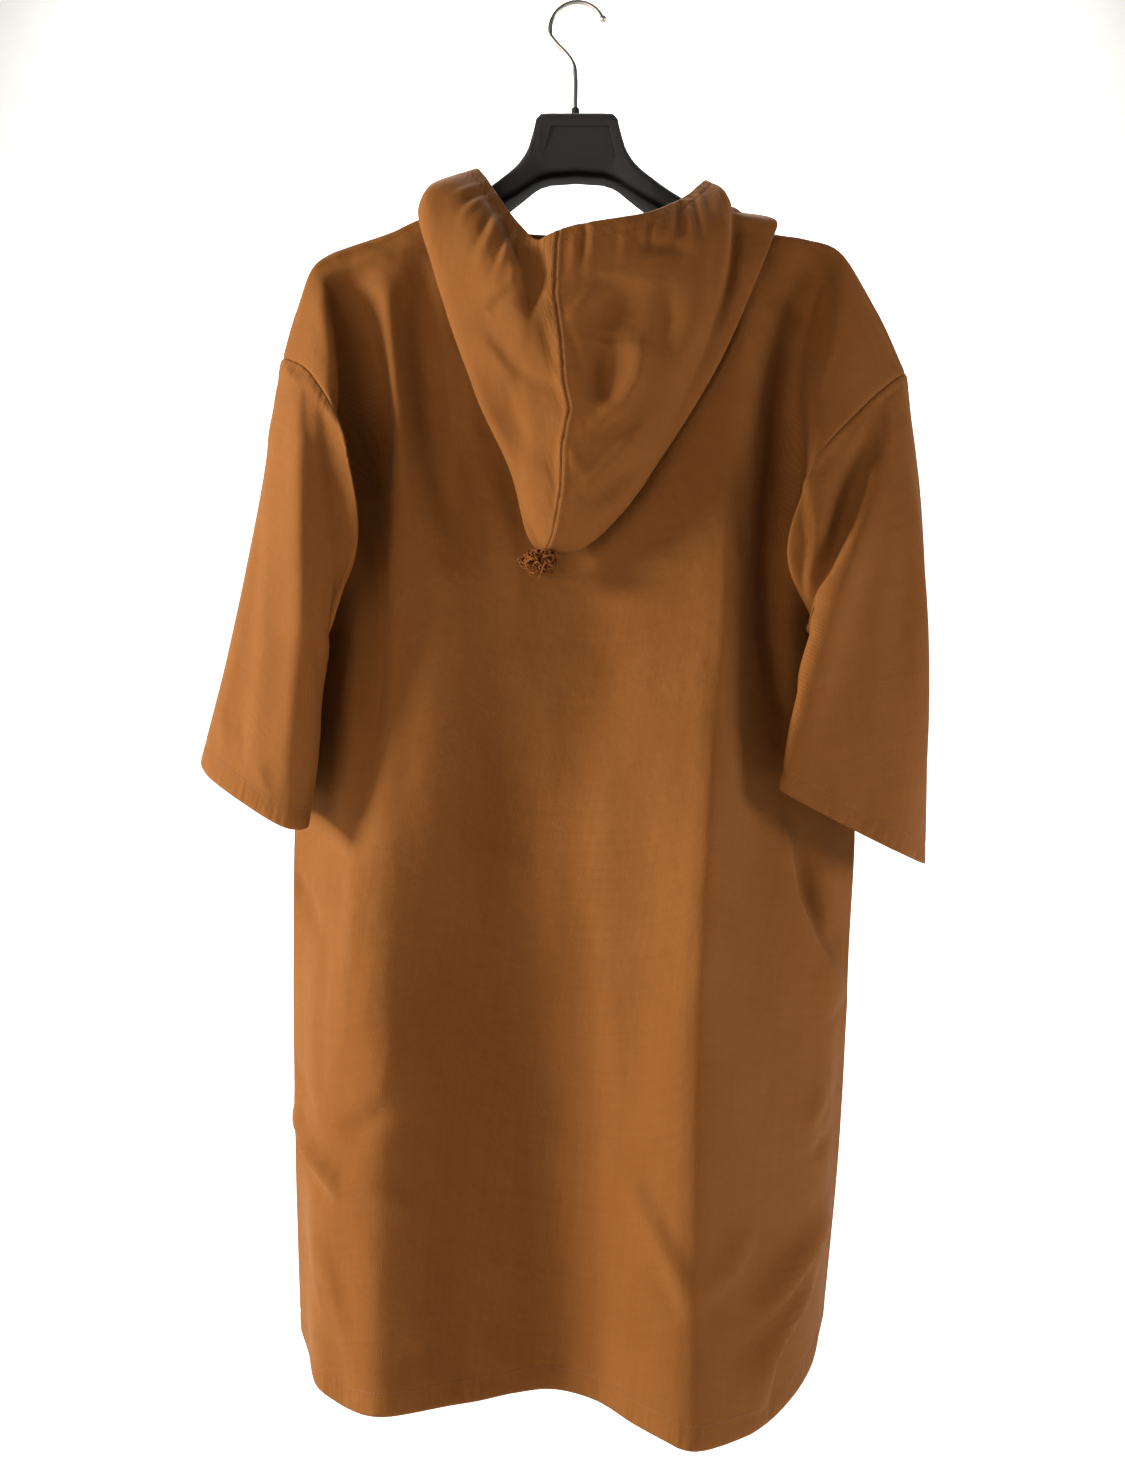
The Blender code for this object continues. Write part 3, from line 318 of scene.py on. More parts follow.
# The hook, across and up from the rod: its shaft, its curl, and the ball at its tip, as distance along and
# radius there.
HOOK_WIRE, HOOK_SIDES = 0.0040, 20
HOOK_SHAFT = ((1.2, -95.2), (1.2, -83), (1.2, -60), (3, -49.5), (9.1, -40.5), (16, -33.5))
HOOK_CURL, HOOK_CURL_MIDDLE = 23.0, (-0.6, -21)
HOOK_CURL_TURN = (-14, 151)  # degrees, from the right round over the top
HOOK_TIP = ((1.2, 2.7), (2.6, 3.1), (4.2, 2.7), (5.4, 1.4))
SHAFT_STEPS, CURL_STEPS = 31, 34
# The plastic sleeve at its foot: its radius, its height, its rounded top and its wall at the mouth.
FOOT_RADIUS, FOOT_HEIGHT, FOOT_SIDES = 0.0034, 0.0080, 32
FOOT_ROUND, FOOT_ROUND_STEPS, FOOT_WALL = 0.0010, 4, 0.0003
# Edges that turn by more degrees than these stay sharp.
HANGER_SHARP, HOOK_SHARP, FOOT_SHARP = 28, 50, 40

# The pompom and its loops of yarn. The sizes of a loop's own form are shares of how far it reaches.
POMPOM_CENTRE = (0.0295, 0.0700, -0.4771)
POMPOM_REACH, POMPOM_LOOPS, POMPOM_SEED = 0.0150, 150, 7
POMPOM_DEEP, POMPOM_TALL = 0.8, 0.72  # its depth and its height by its width
LOOP_REACH, LOOP_TWIST = (0.6, 1.0), 0.5
LOOP_ROOT, LOOP_SPAN = 0.25, 0.70  # from the pompom's middle to a loop's ends, and from there to its tip
LOOP_WIDTH = 0.55
LOOP_ENDS, LOOP_STEPS = (0.04, 0.96), 18
LOOP_CURL, LOOP_CURLS = 0.11, (1.3, 2.6, 4.1)  # the size of its curls, and how many there are along it
OFF_THE_YARN = (0.31, 0.52, 0.79)  # a direction that no yarn follows
YARN_RADIUS, YARN_SIDES = 0.00075, 6

# The stage behind and below, and its lights.
FLOOR_Z, WALL_Y = -1.32, -4.20
FLOOR_WIDTH, FLOOR_DEPTH, WALL_HEIGHT = 14, 8.0, 4.4
SWEEP, SWEEP_STEPS = 0.60, 12  # the radius in which the floor turns up into the wall
ROBE_MIDDLE = (0, 0.02, -0.55)
LIGHTS = (
    # name, place, aim, size, power, colour
    ("window_light", (2.00, 0.36, -0.10), ROBE_MIDDLE, 0.50, 70, "#FFF8E6"),
    ("room_light", (1.2, 2.0, -0.7), ROBE_MIDDLE, 1.4, 22, "#FFE9D6"),
    ("far_light", (-1.9, 0.42, -0.5), ROBE_MIDDLE, 0.6, 20, "#FFF0E0"),
    ("floor_light", (0.0, -1.3, 1.25), (0, -1.9, -1.3), 1.8, 90, "#FFFFFF"),
    ("wall_light", (0.0, -2.5, 2.3), (0, -4.2, -0.2), 2.6, 230, "#FFFFFF"),
)
ROOM_COLOUR, ROOM_STRENGTH = "#F2F4F8", 0.12

# How a crease's section changes along and across it.
CREST_SHARE = 0.3  # it turns from its soft side to its steep one within this share of both widths
CREASE_TIP, CREASE_TAPER = 0.02, 0.7  # the share of its length cut off at its blunt ends, and their shape
BACK_TURN = 0.25  # behind passes into ahead while the normal's share along Y is within this
COLLAR_AHEAD = 0.020  # the collar's own creases lie ahead of here

# The main creases, in the plane of the photograph. A path that goes down has its soft side on the wearer's
# left.
CREASES = {
    "back": (
        # soft side, steep side, rise, then the path as across and height
        (11, 8, 1.6, (157, -226), (153, -261), (148, -300), (143, -336), (138, -378), (133, -427),
         (129, -475)),
        (13, 5, 10.0, (236, -923), (226, -937), (206, -945), (190, -954), (170, -962)),
        (9, 8, -8.0, (236, -944), (222, -956), (204, -965), (184, -975)),
        (9, 6, 3.2, (180, -959), (166, -957), (154, -955), (135, -968), (128, -984)),
        (10, 8, -6.5, (176, -922), (167, -917), (156, -908), (143, -893)),
        (11, 7, 3.6, (139, -836), (141, -850), (143, -871), (151, -896)),
        (8, 8, -2.2, (245, -884), (232, -893), (218, -905), (206, -921)),
        (7, 5, -3.0, (142, -1092), (128, -1082), (112, -1075)),
        (7, 5, 2.8, (129, -1070), (124, -1058), (119, -1042)),
        (7, 5, 3.0, (131, -1110), (120, -1097), (116, -1076)),
        (7, 6, -1.5, (93, -1108), (86, -1094), (83, -1078)),
        (7, 6, 1.6, (62, -1108), (50, -1096), (44, -1080)),
        (6, 5, -1.4, (22, -1106), (15, -1092), (13, -1078)),
        (7, 5, 1.4, (3, -1108), (-4, -1094), (-6, -1078)),
        (20, 8, 12.0, (-158, -676), (-162, -702), (-167, -746), (-178, -768), (-190, -788),
         (-209, -816), (-224, -838)),
        (12, 12, -14.0, (-180, -700), (-188, -738), (-203, -770), (-220, -800)),
        (13, 6, 14.0, (-188, -1040), (-174, -1051), (-149, -1065), (-137, -1083), (-132, -1119)),
        (13, 6, 13.0, (-206, -1000), (-199, -1009), (-171, -1024), (-145, -1041), (-122, -1056)),
        (11, 6, 8.0, (-130, -984), (-126, -989), (-112, -1006), (-97, -1026)),
        (14, 7, 6.5, (-36, -944), (-42, -955), (-60, -983), (-84, -1022)),
        (9, 8, -4.0, (-52, -1004), (-62, -1018), (-72, -1036)),
        (7, 6, -4.0, (-108, -1010), (-101, -1026), (-92, -1040)),
        (8, 6, -1.4, (166, -207), (161, -211), (141, -216), (122, -222)),
        (10, 8, -6.0, (241, -729), (226, -748), (206, -774)),
        (12, 8, 2.2, (-99, -560), (-98, -662), (-95, -736), (-90, -830)),
        (20, 18, -2.0, (-44, -560), (-49, -620), (-54, -700), (-57, -812), (-54, -900)),
        (14, 12, 2.4, (92, -340), (87, -357), (72, -405), (56, -460), (44, -540)),
        (13, 11, -4.5, (-122, -320), (-127, -375), (-128, -432), (-124, -500)),
        (16, 14, 1.7, (27, -530), (23, -640), (18, -760), (14, -900)),
        (15, 14, -1.7, (62, -520), (58, -640), (55, -770), (52, -920)),
        (14, 12, 1.6, (-18, -560), (-22, -700), (-26, -860), (-24, -1010)),
        (9, 6, 4.5, (-203, -900), (-192, -912), (-180, -930)),
        (6, 5, -1.6, (-219, -836), (-207, -846), (-196, -850)),
        (7, 6, -4.5, (-207, -938), (-197, -946), (-186, -949)),
        (10, 20, -15.0, (193, -244), (190, -266), (184, -310), (178, -360), (174, -420)),
        (10, 16, -21.0, (182, -290), (176, -350), (173, -440), (171, -520), (172, -600), (176, -690)),
        (9, 6, 2.4, (156, -236), (152, -290), (146, -350), (138, -420), (134, -500)),
        (20, 18, -9.0, (157, -232), (150, -310), (144, -380), (139, -440), (134, -500), (137, -600),
         (140, -740)),
        (10, 10, -6.0, (128, -232), (124, -300), (116, -380), (104, -440)),
        (16, 24, 5.0, (156, -620), (159, -700), (160, -760), (156, -830), (150, -880)),
        (30, 30, 11.0, (176, -700), (178, -800), (176, -960), (174, -1120), (174, -1260)),
        (30, 22, -6.0, (14, -440), (-8, -500), (-22, -560), (-14, -620), (-6, -680)),
        (9, 4, 4.0, (209, -240), (205, -256), (199, -284), (192, -318), (188, -345)),
        (8, 4, 3.0, (119, -217), (143, -219), (166, -222), (188, -231), (206, -242)),
        (18, 8, -17.0, (-194, -244), (-180, -290), (-174, -340), (-170, -400), (-163, -460),
         (-162, -530), (-168, -610)),
        (10, 4, 4.0, (-186, -380), (-186, -345), (-189, -307), (-199, -262), (-209, -236)),
        (9, 8, 3.0, (178, -640), (172, -760), (176, -880)),
        (8, 7, -2.4, (196, -760), (200, -840), (196, -900)),
        (12, 8, 3.0, (212, -990), (190, -1030), (172, -1060), (160, -1100)),
        (10, 8, -2.4, (224, -1020), (206, -1056), (190, -1090)),
        (7, 6, 1.3, (-141, -256), (-152, -266), (-166, -280)),
        (6, 5, -1.2, (-166, -252), (-180, -262), (-194, -276)),
    ),
    "front": (
        (12, 9, 1.8, (152, -250), (148, -310), (141, -380), (134, -460), (128, -540)),
        (11, 9, 1.6, (-158, -250), (-152, -330), (-148, -410), (-142, -500)),
        (9, 6, 3.0, (238, -902), (222, -914), (203, -925), (181, -930)),
        (9, 8, -2.6, (172, -896), (161, -886), (149, -868)),
        (13, 8, 3.6, (-170, -702), (-178, -748), (-194, -786), (-214, -812)),
        (11, 9, -2.6, (-188, -716), (-199, -752), (-214, -786)),
        (10, 7, 2.2, (-192, -1020), (-168, -1036), (-146, -1058), (-134, -1092)),
        (10, 7, 1.9, (186, -1002), (164, -1020), (146, -1046), (138, -1080)),
        (14, 12, 2.2, (84, -330), (74, -420), (66, -520), (60, -620)),
        (14, 12, 2.0, (-82, -340), (-74, -440), (-68, -560), (-64, -660)),
        (17, 15, -2.0, (20, -330), (16, -450), (14, -600), (12, -760)),
        (15, 13, 1.7, (-18, -620), (-22, -760), (-20, -900), (-26, -1030)),
        (15, 13, -1.6, (60, -700), (56, -820), (52, -960)),
        (9, 7, -2.6, (236, -720), (222, -742), (204, -764)),
        (6, 5, 1.7, (108, -1098), (100, -1084), (97, -1068)),
        (6, 5, -1.5, (70, -1098), (63, -1082), (61, -1066)),
        (6, 5, 1.5, (10, -1100), (4, -1086), (2, -1070)),
        (6, 5, -1.5, (-62, -1098), (-68, -1084), (-69, -1068)),
        (7, 5, 1.7, (-108, -1100), (-114, -1086), (-113, -1068)),
        (9, 7, 1.5, (-40, -940), (-58, -968), (-80, -1000)),
        (8, 7, 1.4, (44, -275), (40, -296), (38, -322)),
        (8, 7, 1.4, (-34, -278), (-32, -300), (-34, -330)),
    ),
    "sleeve_left behind": (
        (30, 10, 12.0, (216, -330), (211, -400), (207, -470), (208, -540), (213, -600),
         (219, -650), (226, -700)),
        (14, 14, -5.0, (198, -370), (190, -430), (190, -500), (202, -560), (212, -620)),
        (18, 20, -6.0, (262, -350), (266, -470), (276, -600), (286, -650)),
        (12, 4.5, 6.5, (228, -322), (222, -342), (215, -385), (211, -436), (211, -491),
         (212, -542), (216, -600), (222, -676)),
        (10, 8, 1.7, (252, -395), (250, -440), (249, -473), (250, -546), (255, -609), (256, -640)),
        (5, 5, -4.0, (206, -522), (210, -545), (212, -570), (215, -598), (219, -630), (222, -668)),
        (6, 4, 3.6, (192, -540), (198, -580), (205, -620), (211, -660)),
        (4, 3.5, -1.6, (246, -286), (241, -292), (233, -308), (224, -319), (212, -326)),
        (4, 3.5, 1.3, (247, -296), (243, -301), (235, -316), (226, -330)),
        (5, 4, -1.3, (252, -312), (246, -322), (238, -334)),
        (5, 4, -1.5, (273, -598), (269, -612), (264, -634)),
        (5, 4, 1.6, (253, -632), (247, -646), (240, -662)),
        (5, 4, 1.4, (293, -583), (288, -605), (284, -628)),
        (5, 4, -1.3, (300, -604), (297, -618), (296, -632)),
        (9, 8, 1.5, (272, -430), (277, -490), (284, -560), (290, -600)),
        (6, 5, 1.3, (262, -332), (262, -350), (260, -374)),
        (5, 4, 1.5, (206, -344), (197, -356), (188, -372)),
        (5, 4, -1.4, (200, -332), (192, -344), (184, -358)),
    ),
    "sleeve_left ahead": (
        (7, 5, 2.4, (238, -336), (230, -390), (232, -450), (240, -520), (250, -600), (256, -650)),
        (10, 8, 1.6, (262, -410), (270, -480), (280, -560), (288, -620)),
        (8, 7, -2.6, (208, -480), (218, -540), (230, -600), (238, -650)),
        (4, 3.5, 1.3, (236, -318), (228, -336), (220, -350)),
        (5, 4, -1.5, (270, -604), (268, -622), (268, -640)),
        (5, 4, 1.5, (248, -628), (246, -644), (244, -662)),
    ),
    "sleeve_right behind": (
        (24, 20, 10.0, (-258, -380), (-262, -470), (-266, -600), (-266, -720)),
        (6, 16, 10.0, (-248, -366), (-236, -402), (-220, -448), (-205, -488), (-190, -533),
         (-172, -590), (-158, -645)),
        (15, 6, -10.0, (-241, -372), (-226, -404), (-214, -434), (-203, -462), (-194, -486), (-184, -510)),
        (5, 20, 7.0, (-184, -404), (-184, -432), (-187, -461), (-184, -488), (-186, -520)),
        (8, 6, 1.5, (-197, -540), (-190, -570), (-183, -602), (-176, -652)),
        (5, 4, -1.5, (-186, -640), (-189, -656), (-192, -672)),
        (5, 4, 1.6, (-205, -645), (-207, -664), (-209, -680)),
        (5, 4, -1.4, (-224, -652), (-225, -671), (-228, -690)),
        (5, 4, 1.5, (-244, -662), (-245, -681), (-247, -698)),
        (10, 9, 1.7, (-246, -440), (-239, -475), (-233, -538), (-228, -601), (-226, -640)),
        (9, 6, 3.4, (-262, -390), (-265, -407), (-270, -488), (-276, -585), (-281, -680)),
        (10, 8, -3.0, (-256, -450), (-254, -540), (-256, -620)),
        (4, 3.5, -1.6, (-268, -322), (-262, -330), (-252, -338), (-240, -352)),
        (4.5, 4, 1.5, (-226, -366), (-219, -380), (-208, -396)),
        (4.5, 4, -1.4, (-236, -362), (-230, -378), (-220, -392)),
        (5, 4, 1.3, (-254, -346), (-252, -362), (-248, -380)),
        (5, 4, 1.3, (-205, -394), (-196, -410), (-188, -424)),
    ),
    "sleeve_right ahead": (
        (8, 6, 2.2, (-252, -420), (-248, -480), (-250, -560), (-258, -640), (-262, -690)),
        (9, 7, -2.2, (-222, -480), (-230, -550), (-242, -620), (-248, -680)),
        (9, 7, 1.6, (-272, -400), (-276, -480), (-280, -580), (-284, -660)),
        (4.5, 4, 1.4, (-230, -366), (-222, -382), (-212, -398)),
        (5, 4, 1.5, (-258, -650), (-259, -672), (-260, -692)),
        (5, 4, -1.5, (-236, -640), (-238, -662), (-240, -682)),
    ),
    "hood_left behind": (
        (3.6, 3, 1.7, (74, -163), (78, -168), (90, -179), (107, -192)),
        (3.6, 3, -1.6, (71, -170), (75, -176), (86, -188), (98, -201)),
        (3.6, 3, 1.8, (70, -178), (73, -181), (82, -193), (94, -210)),
        (4, 3.4, 2.0, (58, -198), (62, -205), (67, -224), (77, -250)),
        (4, 3.4, -1.7, (66, -192), (70, -204), (75, -222), (84, -240)),
        (4, 3.4, 1.8, (46, -217), (49, -223), (53, -238), (61, -256)),
        (4, 3.4, 1.6, (37, -232), (40, -239), (44, -252), (52, -269)),
        (4, 3.4, -1.5, (51, -212), (55, -222), (60, -240), (68, -262)),
        (10, 7, -6.0, (36, -222), (31, -234), (27, -250), (31, -272), (44, -290)),
        (20, 26, -7.5, (70, -276), (62, -308), (55, -337), (47, -376), (38, -414), (30, -440)),
        (22, 26, 3.5, (96, -262), (86, -305), (72, -355), (55, -405), (42, -445)),
        (26, 8, 8.5, (88, -180), (74, -205), (61, -232), (52, -256), (48, -280), (49, -302)),
        (7, 5, -3.4, (70, -284), (62, -278), (52, -274), (38, -272)),
        (9, 5, 3.4, (77, -298), (72, -308), (63, -321), (52, -340)),
        (7, 5, -2.6, (52, -326), (44, -335), (33, -341), (20, -349)),
        (10, 6, 2.0, (84, -330), (72, -356), (58, -384), (46, -410)),
        (7, 6, -2.4, (60, -350), (50, -372), (42, -396)),
        (6, 5, 1.5, (40, -400), (34, -418), (32, -440)),
        (6, 6, -1.8, (30, -290), (27, -310), (24, -330)),
        (6, 5, 1.5, (34, -352), (28, -372), (27, -392)),
    ),
    "hood_right behind": (
        (16, 30, -9.0, (-28, -256), (-24, -284), (-20, -312)),
        (16, 13, -9.0, (-24, -300), (-20, -330), (-15, -360)),
        (9, 5, 6.0, (-46, -306), (-49, -322), (-45, -340), (-32, -360), (-12, -373), (4, -378)),
        (9, 6, 3.6, (8, -298), (4, -290), (-12, -274), (-28, -262)),
        (4, 4, 1.5, (0, -216), (1, -221), (1, -240), (3, -263)),
        (4, 4, 1.4, (-13, -212), (-12, -220), (-11, -238), (-8, -258)),
        (4, 4, -1.4, (-6, -214), (-6, -228), (-4, -248)),
        (4, 4, 1.6, (-40, -208), (-37, -218), (-36, -230), (-34, -250)),
        (4, 4, 1.6, (-51, -206), (-50, -214), (-48, -226), (-45, -240)),
        (4, 4, 1.8, (-64, -202), (-62, -212), (-60, -226), (-59, -240)),
        (4, 4, -1.6, (-57, -206), (-55, -218), (-53, -234)),
        (4, 4, 1.8, (-75, -190), (-73, -200), (-71, -212), (-66, -234)),
        (4, 4, -1.7, (-82, -186), (-81, -198), (-79, -214), (-77, -230)),
        (4, 4, 1.9, (-89, -182), (-89, -194), (-89, -208), (-90, -230)),
        (4, 4, 1.8, (-97, -172), (-98, -184), (-99, -200), (-102, -224)),
        (8, 6, -4.2, (-44, -226), (-58, -232), (-74, -232), (-86, -240)),
        (10, 6, 4.2, (8, -426), (5, -422), (-17, -408), (-44, -382), (-58, -362)),
        (7, 6, 1.9, (0, -452), (-9, -446), (-33, -429), (-57, -402)),
        (7, 6, -3.0, (-4, -432), (-22, -420), (-42, -402)),
        (13, 7, 4.0, (-96, -236), (-97, -262), (-88, -300), (-72, -340)),
        (9, 8, -3.6, (-68, -262), (-70, -290), (-64, -320)),
        (6, 5, -1.6, (14, -300), (8, -318), (6, -336)),
        (6, 5, 1.6, (18, -392), (10, -404), (0, -412)),
        (4, 5, -4.0, (-124, -180), (-127, -204), (-124, -235), (-117, -264), (-108, -290)),
        (6, 3, 2.6, (-116, -180), (-119, -204), (-116, -235), (-109, -264), (-101, -290), (-88, -330)),
    ),
    "collar ahead": (
        (6, 5, 1.6, (60, -188), (58, -204), (57, -222)),
        (6, 5, -1.5, (44, -198), (42, -214), (42, -232)),
        (6, 5, 1.5, (18, -210), (16, -226), (16, -242)),
        (6, 5, 1.5, (-14, -212), (-14, -228), (-12, -244)),
        (6, 5, -1.5, (-38, -200), (-38, -216), (-36, -234)),
        (6, 5, 1.6, (-66, -188), (-64, -204), (-60, -220)),
    ),
}
# How far the hood's middle seam strays to the wearer's right, by height, and how far beside it the cloth
# follows.
SEAM_STRAYS = (
    # height, how far
    (-470, 3), (-457, 7), (-422, 11), (-389, 10), (-362, 14), (-342, 8.5), (-313, 5), (-273, -2), (-231, -2),
    (-215, 0),
)
STRAY_REACH = 0.035
STRAY_FROM, STRAY_OVER = -0.1, 0.5  # it strays from this share of the normal along Y, fully this much later
# That seam is flat-felled: its half width, how far it stands up, its sloped edge, and how far in its stitches
# lie.
HOOD_SEAM_HALF, HOOD_SEAM_RISE, HOOD_SEAM_SLOPE, HOOD_SEAM_INSET = 0.0030, 0.0007, 0.0012, 0.0008
# The cloth puckers beside it: the step from one to the next, their rise and their reach. The step wanders and
# the rise swings, each at its own rate.
PUCKER_STEP, PUCKER_RISE, PUCKER_REACH = 0.0125, 0.00035, 0.007
STEP_WANDER, STEP_RATE = 2.2, 0.37
RISE_MEAN, RISE_SWING, RISE_RATE, RISE_START = 0.6, 0.4, 0.23, 1

# The cells of the panels between the lines of the tables: down and across.
BACK_DOWN = (1, 1, 2, 3, 2, 2, 1, 3, 3, 3, 3)
FRONT_DOWN = (1, 1, 1, 2, 3, 2, 2, 1, 3, 3, 3, 3)
BACK_ACROSS = (2,) * 5 + (3,) * 8 + (2,) * 5
FRONT_ACROSS = (2,) * 5 + (1, 1, 1, 1, 2, 1) + (1, 2, 1, 1, 1, 1) + (2,) * 5
SLEEVE_DOWN = (2, 3, 3, 2)
HOOD_AROUND = (1, 1, 1, 2, 1, 1, 3, 3)
ARMHOLE_DOWN = {"back": BACK_DOWN[:6], "front": FRONT_DOWN[:7]}
BACK_ARMHOLE_CELLS, FRONT_ARMHOLE_CELLS = (sum(steps) for steps in ARMHOLE_DOWN.values())
ARMHOLE_SPANS = 5
SHOULDER_CELLS = sum(BACK_ACROSS[:5])  # the cells from a side to its shoulder line, alike on both panels
HOOD_BEHIND, HOOD_AHEAD = 12, 7
COLLAR_SHARES = (0.0, 0.10, 0.20, 0.32, 0.44, 0.54, 0.64, 0.82, 1.0)
SEAM_SHARE = 0.55
# Points of the cloth in each of those cells, and the closer ones beside a sewn or turned edge.
FINE_DOWN, FINE_ACROSS, FINE_AROUND, FINE_HOOD = 9, 4, 8, 14
BESIDE_EDGE = (0.05, 0.11, 0.18, 0.27, 0.38)
CLOSEST = 0.02  # no two places lie nearer than this
SIDES = ("first", "last")
NO_REACH, NO_LENGTH, NO_AREA = 1e-6, 1e-9, 1e-12  # what counts as nothing, or keeps a division safe
SAME_PLACE = 1e-5  # points nearer than this along an axis lie level


def curve(points, places, closed=False):
    """Smooth lines through the points of the first axis, read at places that count their spans."""
    points = np.asarray(points, float)
    count = len(points)
    if closed:
        held = np.concatenate([points[-1:], points, points[:2]])
    else:
        held = np.concatenate([2 * points[:1] - points[1:2], points, 2 * points[-1:] - points[-2:-1]])
    gaps = np.linalg.norm(np.diff(held, axis=0), axis=-1, keepdims=True) ** 0.5 + NO_LENGTH
    i = np.minimum(np.asarray(places, float).astype(int), (count if closed else count - 1) - 1)
    share = (places - i).reshape(-1, *[1] * (points.ndim - 1))
    p0, p1, p2, p3 = (held[i + k] for k in range(4))
    d1, d2, d3 = (gaps[i + k] for k in range(3))
    leave = d2 * ((p1 - p0) / d1 - (p2 - p0) / (d1 + d2) + (p2 - p1) / d2)
    reach = d2 * ((p2 - p1) / d2 - (p3 - p1) / (d2 + d3) + (p3 - p2) / d3)
    a = share * share * (3 - 2 * share)
    return (1 - a) * p1 + a * p2 + share * (1 - share) * ((1 - share) * leave - share * reach)


def span_of(cells, steps):
    """Turns places that count cells into places that count the spans between lines."""
    return np.interp(cells, np.concatenate([[0], np.cumsum(steps)]), np.arange(len(steps) + 1))


def samples(first, last, fine, edges=(True, True)):
    """Places from one cell to another, closer together beside the edges."""
    places = [np.linspace(first, last, int(round((last - first) * fine)) + 1)]
    if edges[0]:
        places.append(first + np.array(BESIDE_EDGE))
    if edges[1]:
        places.append(last - np.array(BESIDE_EDGE))
    joined = np.unique(np.round(np.concatenate(places), 4))
    return joined[np.concatenate([[True], np.diff(joined) > CLOSEST])]


def read_table(places, values, at):
    """A smooth value between the places of a short table."""
    order = np.argsort(places)
    places, values = np.asarray(places, float)[order], np.asarray(values, float)[order]
    slopes = np.gradient(values, places)
    i = int(np.clip(np.searchsorted(places, at) - 1, 0, len(places) - 2))
    width = places[i + 1] - places[i]
    share = np.clip((at - places[i]) / width, 0, 1)
    a = share * share * (3 - 2 * share)
    bend = share * (1 - share) * ((1 - share) * slopes[i] - share * slopes[i + 1])
    return (1 - a) * values[i] + a * values[i + 1] + width * bend


def arm_top(out):
    return np.interp(np.abs(out), HANGER_OUT, HANGER_TOP)


def arm_underside(out):
    return np.interp(np.abs(out), HANGER_OUT, HANGER_UNDERSIDE)


def arm_depth(out):
    return np.interp(np.abs(out), (PLATE_OUT, ARM_OUT), (PLATE_HALF_DEPTH, ARM_HALF_DEPTH))


def off_the_arm(grid):
    """Lifts the cloth's points clear of the hanger's arm."""
    moved = grid.copy()
    x, y, z = moved[..., 0], moved[..., 1], moved[..., 2]
    top, low = arm_top(x), arm_underside(x)
    middle, half = (top + low) / 2, (top - low) / 2
    corner = np.minimum(ARM_CORNER, half * ROUND_SHARE)
    over = np.maximum(np.abs(y) - (arm_depth(x) - corner), 0)
    up = np.maximum(np.abs(z - middle) - (half - corner), 0)
    reach = np.hypot(over, up)
    near = np.abs(x) < HANGER_OUT[-1] + REST
    outside = near & (reach > NO_REACH) & (reach < corner + REST)
    scale = np.where(outside, (corner + REST) / np.maximum(reach, NO_REACH), 1.0)
    y[...] = np.where(outside, np.sign(y) * (arm_depth(x) - corner + over * scale), y)
    z[...] = np.where(outside, middle + np.sign(z - middle) * (half - corner + up * scale), z)
    inside = near & (reach <= NO_REACH)
    z[...] = np.where(inside, top + REST, z)
    return moved


def on_arm(out, behind, drop):
    """A point of the cloth over the hanger's arm, from distances in millimetres."""
    return (out * MM, behind * MM, float(arm_top(out * MM)) + REST - drop * MM)


def fold_points(folds, name):
    """A fold line's points at each height below the shoulder."""
    *places, hem = next(row[1:] for row in folds if row[0] == name)
    across, out = zip(*places)
    heights = (YOKE_Z, CHEST_Z, UNDERARM_Z, WAIST_Z, hem)
    levels = (YOKE_Z, CHEST_Z, RIB_Z, UNDERARM_Z, BELOW_ARM_Z, HIP_Z, WAIST_Z, THIGH_Z, hem)
    line = [(read_table(heights, across, z), read_table(heights, out, z), z) for z in levels]
    return [tuple(MM * np.array(point)) for point in line]


def shoulder_points(name, face):
    """The start of a line that lies over the hanger's arm."""
    side, kind = name.split("_")
    out = TOPS_OUT[kind] * (1 if side == "left" else -1)
    lift = 0 if side == "left" else RIGHT_LIFT[kind]
    lean = FAN if (kind, face) == ("shoulder", "front") else (1.0,) * len(FAN)
    return [on_arm(out * wider, behind, drop - lift) for wider, (behind, drop) in zip(lean, OVER_ARM[face])]


def neck_points(top, first, face):
    """The start of a line that hangs from the neckline."""
    top, first = MM * np.array(top), np.array(first)
    return [tuple(top + (first - top) * share) for share in NECK_SHARES[face]]


def edge_lines(side, face):
    """The sewn edge beside the sleeve and down the side, and the line that follows just inside it."""
    down = ARMHOLE_DOWN[face]
    places = np.concatenate([[0], np.cumsum(down)]) / sum(down) * ARMHOLE_SPANS
    key = side + " " + face
    edge = list(curve(MM * np.array([SLEEVE_TOP[side], *ARMHOLE[key], UNDERARM[side]]), places))
    beside = list(curve(MM * np.array(BESIDE_ARMHOLE[key]), places))
    levels = (BELOW_ARM_Z, HIP_Z, WAIST_Z, THIGH_Z, SIDE_HEM_Z[side])
    cap = fold_points(BACK_FOLDS if face == "back" else FRONT_FOLDS, side + "_cap")[4:]
    for (x, y), z, inner in zip(SIDE_SEAM[side], levels, cap):
        seam = MM * np.array((x, y, z))
        edge.append(seam)
        beside.append(SEAM_SHARE * seam + (1 - SEAM_SHARE) * np.array(inner))
    return edge, beside


def blend(first, second, share):
    return [tuple((1 - share) * np.array(a) + share * np.array(b)) for a, b in zip(first, second)]


